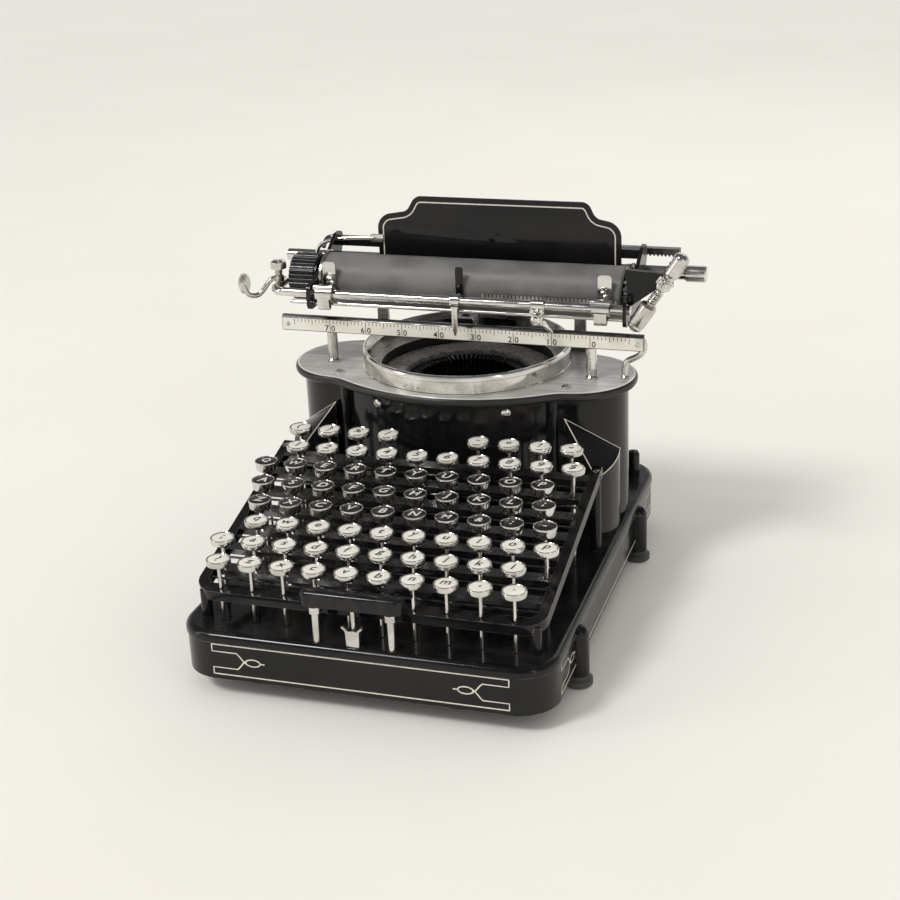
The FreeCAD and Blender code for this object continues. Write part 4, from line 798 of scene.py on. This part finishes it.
def bentStrip(path, thick, width):
    # a flat strip bent along a path in the YZ plane, as wide as told along X, centred on x = 0
    points = [Vector(point) for point in path]
    left, right = [], []
    for i, point in enumerate(points):
        before, after = points[max(i - 1, 0)], points[min(i + 1, len(points) - 1)]
        along = (after - before).normalized()
        out = Vector((-along.y, along.x)) * thick / 2
        left.append(tuple(point + out))
        right.append(tuple(point - out))
    shape = bmesh.new()
    shape.faces.new([shape.verts.new((-width / 2, y, z)) for y, z in left + right[::-1]])
    return thickened(shape, width, (1, 0, 0))


def arcPath(centre, radius, start, end, steps=14):
    angles = (math.radians(start + (end - start) * i / steps) for i in range(steps + 1))
    return [(centre[0] + radius * math.cos(a), centre[1] + radius * math.sin(a)) for a in angles]


def coil(radius, wireRadius, length, turns):
    points = []
    for i in range(turns * 8 + 1):
        turn = math.pi * i / 4
        points.append((radius * math.cos(turn), radius * math.sin(turn), length * i / (turns * 8)))
    return wire(points, wireRadius, sides=1)


def toothed(teeth, width, tooth):
    # a flat wheel; a tooth is told as (radius, part of the way to the next one)
    corners = []
    for i in range(teeth):
        for radius, part in tooth:
            turn = 2 * math.pi * (i + part) / teeth
            corners.append((radius * math.cos(turn), radius * math.sin(turn)))
    return thickened(plateShape(corners), width)


# slotted screws on the plate, the barrel and the keyboard frame

screws = dict(plate=(77.0, 42.0, 137.0), wall=(43.0, 20.0, 125.4), lean=21.1, frame=(104.25, 6.1, 96.5),
              slope=13.32)


def buildScrews():
    heads, ends = [], []
    for side, turn in ((-1, 25), (1, -40)):
        plateSpot, wallSpot, frameSpot = (at(side * screws[name][0], *screws[name][1:])
                                          for name in ("plate", "wall", "frame"))
        heads.append(moved(screwHead(3.1, 1.9, 0.8), plateSpot @ turned(turn)))
        facing = turned(side * screws["lean"]) @ upright @ turned(turn * 2)
        heads.append(moved(screwHead(3.1, 1.9, 0.8), wallSpot @ facing))
        ends.append(moved(screwHead(2.2, 0.9, 0.5), frameSpot @ turned(screws["slope"], "X") @ turned(35)))
    finishPiece("slotted_screws", heads, "nickel", "stand", ("case_screws",))
    finishPiece("frame_end_screws", ends, "nickel", "stand")


buildScrews()
print("screws built")


# painted highlights: pale lines along the edges of the shoulder covers

cover = dict(x=75.0, y=43.03, radius=36.0, start=-42.0, end=10.0, low=86.0, high=95.0,
             apex=(78.0, 33.03, 119.0), lobe=(78.0, 70.0, 33.0))


def roofRim(part):
    # a point of the roof's lower rim, from the front corner (0) to the back one (1)
    angles = (math.radians(cover["start"] + (cover["end"] - cover["start"]) * i) for i in (0, 1, part))
    first, last, spot = (Vector((math.cos(a), math.sin(a))) * cover["radius"] for a in angles)
    chord = last - first
    rise = (spot - first).dot(chord) / chord.length_squared
    low, high = cover["low"], cover["high"]
    return Vector((cover["x"] + spot.x, cover["y"] + spot.y, low + (high - low) * rise))


def lobeEdge(apex):
    # where the roof's lines from the apex run into the side lobe and come out of it again
    x, y, radius = cover["lobe"]
    off = Vector((apex.x - x, apex.y - y))
    before, after = [], []
    for i in range(200, 0, -4):
        ray = roofRim(i / 200) - apex
        flat = ray.xy
        half, outside = flat.dot(off), off.length_squared - radius ** 2
        inside = half ** 2 - flat.length_squared * outside
        if inside < 0:
            break
        root = math.sqrt(inside)
        before.append(apex + ray * ((-half - root) / flat.length_squared))
        after.append(apex + ray * ((-half + root) / flat.length_squared))
    return [apex] + before + after[::-1] + [roofRim(1.0)]


def buildCoverLines():
    apex = Vector(cover["apex"])
    rim = [roofRim(i / 12) for i in range(13)]
    for side, name in ((1, "right"), (-1, "left")):
        # painted highlight lines along the roof's rim, from the apex down to the rim and round the side lobe
        paths = [[(side * (spot.x - 0.15), spot.y, spot.z - 0.1) for spot in run]
                 for run in (rim, [apex, rim[0]], lobeEdge(apex))]
        lines = [wire(path, 0.34, smooth=False, sides=2) for path in paths]
        paintedLines("cover_line_" + name, lines)


buildCoverLines()
print("cover lines built")


# fittings on the front rail: paper clamps, pointer, margin stop

railLook = dict(y=53.0, z=187.0, fingerY=62.3, leftX=-88.0, rightX=98.0, pointerX=2.0, stopX=57.0)


def railSleeve(length, radius):
    half = length / 2
    profile = [(3.1, -half), (radius - 0.5, -half), (radius, -half + 0.5), (radius, half - 0.5),
               (radius - 0.5, half), (3.1, half)]
    ring = spun(profile + profile[:1], 32)
    return moved(ring, alongX)


def buildClamp(name, node, body, x):
    y, z = railLook["y"], railLook["z"]
    finger = softPlate([(-4.5, -1), (4.5, -1), (4.5, 19.4), (-4.5, 19.4)], (((2, 3), 2.4, 5),), 0.8)
    parts = [moved(finger, at(0, railLook["fingerY"], z) @ upright),
             moved(railSleeve(10, 5.0), at(0, y, z))]
    sheet = arcPath((y, z), 5.35, 205, -28) + [(y + 7.6, z - 3.4), (y + 8.9, z - 1.4), (y + 9.0, z + 2.0)]
    parts.append(bentStrip(sheet, 0.8, 11))
    curl = arcPath((y - 3.2, z + 5.0), 1.7, 250, -60)
    parts.append(bentStrip(curl, 0.8, 13))
    tail = [(y - 4.9, z + 0.2), (y - 5.1, z - 4)] + arcPath((y - 3.1, z - 7.6), 2.0, 160, 400)
    parts.append(bentStrip(tail, 0.8, 8))
    whole = moved(joined(parts), at(x, 0, 0))
    finishPiece(name, [whole], "nickel", body, (node,))


def buildPointer():
    y, z, x = railLook["y"], railLook["z"], railLook["pointerX"]
    finger = softPlate([(-2.6, -1), (2.6, -1), (2.6, 20), (-2.6, 20)], (((2, 3), 1.8, 5),), 0.8)
    saddle = arcPath((y, z), 4.4, 190, -20) + [(y + 7.6, z - 3.0), (y + 8.9, z - 1.4), (y + 9.0, z + 1.6)]
    right = [(0.5, 0), (1.9, 6), (1.9, 17), (2.4, 20)]
    blade = softPlate([(-0.5, 0)] + right + [(-x, z) for x, z in right[:0:-1]], (), 1.2)
    cap = arcPath((y, z), 4.5, 100, 265)
    holder = [moved(bentStrip(saddle, 1.0, 5.2), at(x, 0, 0)), moved(bentStrip(cap, 1.2, 5.8), at(x, 0, 0)),
              moved(railSleeve(5.6, 4.0), at(x, y, z)), moved(blade, at(x, 50.0, 164.6) @ upright)]
    finishPiece("pointer_holder", holder, "nickel", "carriage", ("pointer_clamp",))
    moved(finger, at(x, railLook["fingerY"], z) @ upright)
    finishPiece("pointer_finger", [finger], "black_japan", "carriage")


def buildMarginStop():
    y, z, x = railLook["y"], railLook["z"], railLook["stopX"]
    cap = arcPath((y, z), 4.5, 60, 275)
    pawl = softPlate([(0, 0), (3, 0), (8, -8), (6.4, -9), (0, -3)], (((1, 2, 3), 0.8, 3),), 1.5)
    parts = [moved(railSleeve(9, 4.7), at(x, y, z)),
             block((6.4, 4.0, 8.4), at(x, y - 3.2, z - 7.8), 0.7, 3),
             moved(knurled(3.2, 3.4, 28, 4, 0.3), at(x, y - 5.2, z - 7) @ upright),
             moved(screwHead(2.5, 1.4, 0.6), at(x, y - 8.5, z - 7) @ upright @ turned(34.3775)),
             moved(bentStrip(cap, 1.0, 7), at(x, 0, 0)),
             moved(pawl, at(x + 2, y - 1.0, z - 9) @ upright)]
    for side in (-1, 1):
        ear = spun([(0, 0), (1.6, 0), (1.6, 1.6), (0, 2.0)], 16)
        parts.append(moved(ear, at(x + side * 3.1, y - 3.5, z - 3.2) @ upright))
    finishPiece("margin_stop_body", parts, "nickel", "stop", ("margin_stop",))


buildClamp("paper_clamp_left_sheet", "paper_clamp_left", "left_clamp", railLook["leftX"])
buildClamp("paper_clamp_right_sheet", "paper_clamp_right", "right_clamp", railLook["rightX"])
buildPointer()
buildMarginStop()
print("rail fittings built")


# line space lever, ratchet and pawl

leverLook = dict(place=(138.0, 47.0, 206.0), lean=33.0, rod=2.1, socket=5.5)


def buildLever():
    spot, rod, wide = at(*leverLook["place"]), leverLook["rod"], leverLook["socket"]
    socket = spun([(0, -35.3), (wide * 0.45, -34.9), (wide * 0.8, -33.5), (wide * 0.92, -32.0),
                   (wide * 0.86, -30.6), (wide * 0.95, -30.2), (wide, -29.6), (wide, -16.2),
                   (wide - 0.4, -15.6), (wide - 1.6, -15.0), (0, -15.0)], 40)
    neck = spun([(0, -15.2), (rod, -15.2), (rod, 10), (0, 10)], 20)
    collar = spun([(0, 4.6), (3.0, 4.8), (3.6, 5.6), (3.0, 6.4), (3.2, 7.4), (4.6, 8.2), (5.0, 9.4),
                   (0, 9.4)], 32)
    grip = moved(knurled(5.2, 11.2, 16, 8, 0.8), at(0, 0, 9.2))
    tip = spun([(0, 20.2), (5.1, 20.2), (4.9, 21.6), (4.2, 22.8), (2.6, 23.8), (0, 24.3)], 32)
    yoke = softened(toothed(7, 4.6, ((4.0, 0.0), (5.2, 0.22), (5.2, 0.55), (4.0, 0.78))), 0.3, 2)
    spring = moved(coil(3.0, 0.42, 9.6, 6), at(0, 0, -14.6))
    crossPin = moved(spun([(0, 0), (1.9, 0), (1.9, 14.0), (0, 14.0)], 20), spot @ alongY)
    nut = moved(screwHead(3.4, 1.8, 0.7), spot @ at(0, -3.6, 0) @ upright)
    moved(yoke, at(0, 0, -0.8))
    leaning = [moved(piece, spot @ turned(leverLook["lean"], "Y"))
               for piece in (socket, neck, collar, grip, tip, yoke, spring)]
    finishPiece("lever_and_grip", leaning + [crossPin, nut], "nickel", "spacing_lever", ("line_space_lever",))


gearLook = dict(x=108.3, teeth=18, width=3.4, root=11.6, tip=14.4, hub=6.5, bore=3.1)


def buildRatchet():
    look = gearLook
    root, tip, hub, bore = look["root"], look["tip"], look["hub"], look["bore"]
    low, high = -0.05, look["width"] + 0.05
    gear = toothed(look["teeth"], look["width"], ((root, 0.0), (tip, 0.08), (tip, 0.50), (root, 0.58)))
    ring = spun([(bore, low), (hub, low), (hub, high), (bore, high), (bore, low)], 32)
    parts = [moved(part, at(look["x"], *platenAxis) @ alongX) for part in (softened(gear, 0.18, 1), ring)]
    finishPiece("ratchet_gear", parts, "steel", "platen_unit", ("ratchet_wheel",))


pawlLook = dict(pivot=(109.2, 92.0, 204.0), stripX=110.1, thick=1.5, width=2.0)


def buildPawl():
    path = ([(75.4, 206.2)] + arcPath((78.0, 207.0), 2.2, 190, 40)
            + [(83.0, 207.4), (86.5, 204.6), (89.0, 202.9)] + arcPath((92.0, 204.2), 1.9, 215, 330))
    pivot = at(*pawlLook["pivot"]) @ alongX
    strip = moved(bentStrip(path, pawlLook["thick"], pawlLook["width"]), at(pawlLook["stripX"], 0, 0))
    boss = moved(spun([(0, 0), (2.3, 0), (2.3, 2.0), (1.4, 2.4), (0, 2.4)], 24), pivot)
    pin = moved(spun([(0, 0), (1.1, 0), (1.1, 5.8), (0, 5.8)], 16), pivot)
    finishPiece("pawl_strip", [strip, boss, pin], "nickel", "pawl", ("feed_pawl",))


buildLever()
buildRatchet()
buildPawl()
print("lever, ratchet and pawl built")


# more of the carriage: hook and screw, margin rack, strap and arched rod

hookLook = dict(x=-126.0, y=66.0, z=187.0, top=190.0)
rackLook = dict(left=20.0, right=108.0, low=190.0, root=191.1, tip=193.0, pitch=2.54, tooth=1.5, thick=2.4)


def buildHook():
    x, y, z, top = hookLook["x"], hookLook["y"], hookLook["z"], hookLook["top"]
    stalk = wire([(x + 0.5, y, top + 2.4), (x - 3, y - 1.5, top + 2.6), (x - 6, y - 3.6, top + 0.6),
                  (x - 11, y - 7.6, z - 4.6), (x - 15, y - 10.4, z - 5.4), (x - 19.0, y - 12.6, z - 3.6),
                  (x - 20.4, y - 13.0, z + 2.0)], 1.75, sides=6)
    bowl = bmesh.new()
    bmesh.ops.create_uvsphere(bowl, u_segments=28, v_segments=14, radius=1.0)
    for vert in bowl.verts:
        inward = 0.55 if vert.co.z > 0 else 1.0
        vert.co = Vector((vert.co.x * 7.1, vert.co.y * 4.3, vert.co.z * 1.25 * inward
                          - (0.9 * (1 - vert.co.x ** 2 - vert.co.y ** 2) if vert.co.z > 0 else 0.0)))
    moved(bowl, at(x - 20.0, y - 12.9, z + 4) @ turned(-50) @ alongX)
    neck = spun([(0, 0), (3.3, 0), (3.4, 0.6), (3.4, 3.6), (2.6, 4.4), (2.2, 4.7), (2.2, 8.6), (0, 8.6)], 28)
    threads = [spun([(2.1, h), (2.75, h + 0.35), (2.1, h + 0.7)], 20) for h in (5.0, 5.9, 6.8, 7.7)]
    head = moved(knurled(5.4, 3.4, 32, 5, 0.35), at(0, 0, 9.0))
    under = spun([(0, 8.4), (3.4, 8.5), (5.0, 9.1), (0, 9.1)], 32)
    crown = moved(screwHead(5.0, 2.4, 1.1), at(0, 0, 12.3) @ turned(28.6479))
    knobParts = [moved(piece, at(x, y, top)) for piece in [neck, head, under, crown] + threads]
    finishPiece("hook_and_screw", [stalk, bowl] + knobParts, "nickel", "carriage", ("finger_hook",))


def buildMarginRack():
    # a letter-spaced rack on top of the front rail
    look = rackLook
    x, root, tip = look["left"], look["root"], look["tip"]
    teeth = [(x, look["low"])]
    while x + look["pitch"] < look["right"]:
        gap, following = x + look["tooth"], x + look["pitch"]
        teeth += [(x, tip), (gap, tip), (gap, root), (following, root)]
        x = following
    teeth += [(x, tip), (look["right"], tip), (look["right"], look["low"])]
    strip = thickened(plateShape(teeth), look["thick"])
    finishPiece("margin_rack_teeth", [moved(strip, at(0, 54.2, 0) @ upright)], "steel", "carriage",
                ("margin_rack",))


strapLook = dict(x=-95.3, radius=18.3, start=222, end=62, thick=0.7, width=1.5)
archLook = dict(wire=1.35, lug=(9.0, 1.6, 5.6), lugPlace=(-67.5, 101.5, 212.4))


def buildStrapAndArch():
    look = strapLook
    hoop = bentStrip(arcPath(platenAxis, look["radius"], look["start"], look["end"], 30),
                     look["thick"], look["width"])
    finishPiece("platen_strap", [moved(hoop, at(look["x"], 0, 0))], "nickel", "carriage")
    arch = wire([(-111.0, 98.4, 196.0), (-111.4, 99.0, 202.4), (-107.6, 100.2, 207.6), (-98.0, 101.0, 210.9),
                 (-84.0, 101.2, 212.2), (-70.5, 101.2, 212.4)], archLook["wire"], sides=5)
    lug = block(archLook["lug"], at(*archLook["lugPlace"]), 0.5, 2)
    finishPiece("paper_arch_rod", [arch, lug], "nickel", "carriage")


buildHook()
buildMarginRack()
buildStrapAndArch()
print("hook, margin rack, strap and arched rod built")


# curved arm beside the scale and the rail's dark end

armLook = dict(x=110.6, y=67.0, z=137.2, narrow=0.92, wire=2.1, foot=(110.0, 67.0, 137.0))
railEndLook = dict(place=(140.5, 112.0, 195.0))


def buildRestArm():
    look = armLook
    curve = [(-1.0, 0), (-1.0, 7.0), (0.8, 11.4), (6.0, 13.6), (10.6, 16.2), (13.2, 20.6), (12.6, 24.4),
             (11.6, 26.0)]
    arm = wire([(look["x"] + x * look["narrow"], look["y"], look["z"] + z) for x, z in curve],
               look["wire"], sides=6)
    foot = moved(spun([(0, 0), (2.9, 0), (2.9, 1.0), (2.3, 1.8), (0, 1.8)], 24), at(*look["foot"]))
    finishPiece("rest_arm_curve", [arm, foot], "nickel", "stand", ("carriage_rest_arm",))


def buildRailEnd():
    profile = [(4.2, 0), (4.55, 0.2), (4.55, 9.6), (4.25, 10.0), (4.25, 10.6), (4.55, 11.0), (4.55, 13.0),
               (4.0, 13.6), (0, 13.6), (0, 0), (4.2, 0)]
    cap = moved(spun(profile, 32), at(*railEndLook["place"]) @ alongX)
    finishPiece("rail_end_cap", [cap], "black_keys", "stand")


buildRestArm()
buildRailEnd()
print("rest arm and rail end built")


# camera, floor and light, in metres

view = dict(place=(0.3227, -0.9395, 0.5141), turn=18.34, dip=22.44, roll=-2.5, lens=67.6)
studio = dict(soft=(1.0, 0.985, 0.955), strength=0.60, wall=(0.86, 0.835, 0.785),
              horizon=(0.88, 0.87, 0.84), ceiling=(0.13, 0.13, 0.14),
              paper=(0.90, 0.875, 0.825), paperSecond=(0.91, 0.89, 0.84), paperReach=15.0)
lamps = {
    "keySun": ("SUN", 1.25, (-1.2, -1.5, 2.4), (0, 0, 0.1), math.radians(14)),
    "leftPanel": ("AREA", 3.2, (-1.3, -0.7, 0.8), (0, 0, 0.12), (0.28, 1.3)),
    "rightPanel": ("AREA", 1.6, (1.2, -1.0, 0.8), (0, 0, 0.12), (0.2, 1.2)),
    "backPanel": ("AREA", 2.2, (0.2, 1.4, 1.1), (0, 0, 0.15), (1.2, 0.5)),
}


def makeCamera():
    camera = bpy.data.cameras.new("camera")
    camera.lens = view["lens"]
    camera.clip_start, camera.clip_end = 0.05, 60.0
    stand = bpy.data.objects.new("camera", camera)
    turn, dip = math.radians(view["turn"]), math.radians(view["dip"])
    look = Vector((-math.sin(turn) * math.cos(dip), math.cos(turn) * math.cos(dip), -math.sin(dip)))
    aim = look.to_track_quat("-Z", "Y").to_matrix().to_4x4()
    stand.matrix_world = at(*view["place"]) @ aim @ turned(view["roll"])
    bpy.context.collection.objects.link(stand)
    bpy.context.scene.camera = stand
    bpy.context.scene.view_settings.view_transform = "Standard"


def makeFloor():
    shape = bmesh.new()
    bmesh.ops.create_grid(shape, x_segments=2, y_segments=2, size=studio["paperReach"])
    mesh = bpy.data.meshes.new("paleFloor")
    shape.to_mesh(mesh)
    shape.free()
    floor = bpy.data.objects.new("paleFloor", mesh)
    bpy.context.collection.objects.link(floor)
    material, tree, shader = newFinish("palePaper")
    grain = addGroup(tree, "grain", Scale=300.0, Blotch_Scale=4.0)
    colour = blendColour(tree, grain.outputs["Blotch"], studio["paper"], studio["paperSecond"])
    feed(tree, shader, Base_Color=colour, Roughness=0.85, Specular_IOR_Level=0.2)
    mesh.materials.append(material)


def mixShader(tree, *sources):
    node = tree.nodes.new("ShaderNodeMixShader")
    for place, source in enumerate(sources):
        tree.links.new(source, node.inputs[place])
    return node.outputs["Shader"]


def makeWorld():
    # even soft light; shiny surfaces mirror a darker room with a pale horizon, the eye sees a pale wall
    world = bpy.data.worlds.new("studio")
    bpy.context.scene.world = world
    world.use_nodes = True
    tree = world.node_tree
    height = ramp(tree, heightIn(tree, "Generated"), 0.02, 0.55)
    mirrored = blendColour(tree, height, studio["horizon"], studio["ceiling"])
    soft, wall, room = tree.nodes["Background"], *(tree.nodes.new("ShaderNodeBackground") for _ in range(2))
    for node, colour in ((soft, studio["soft"]), (wall, studio["wall"]), (room, mirrored)):
        feed(tree, node, Color=colour)
    feed(tree, soft, Strength=studio["strength"])
    rays = tree.nodes.new("ShaderNodeLightPath")
    shiny = mixShader(tree, rays.outputs["Is Glossy Ray"], soft.outputs[0], room.outputs[0])
    seen = mixShader(tree, rays.outputs["Is Camera Ray"], shiny, wall.outputs[0])
    feed(tree, tree.nodes["World Output"], Surface=seen)


def makeLight(name, kind, energy, place, aim, size):
    light = bpy.data.lights.new(name, kind)
    light.energy = energy
    if kind == "SUN":
        light.angle = size
    else:
        light.shape = "RECTANGLE"
        light.size, light.size_y = size
    lamp = bpy.data.objects.new(name, light)
    away = (Vector(aim) - Vector(place)).to_track_quat("-Z", "Y")
    lamp.matrix_world = at(*place) @ away.to_matrix().to_4x4()
    bpy.context.collection.objects.link(lamp)


makeCamera()
makeFloor()
makeWorld()
for name, values in lamps.items():
    makeLight(name, *values)
print("camera, floor and light set")
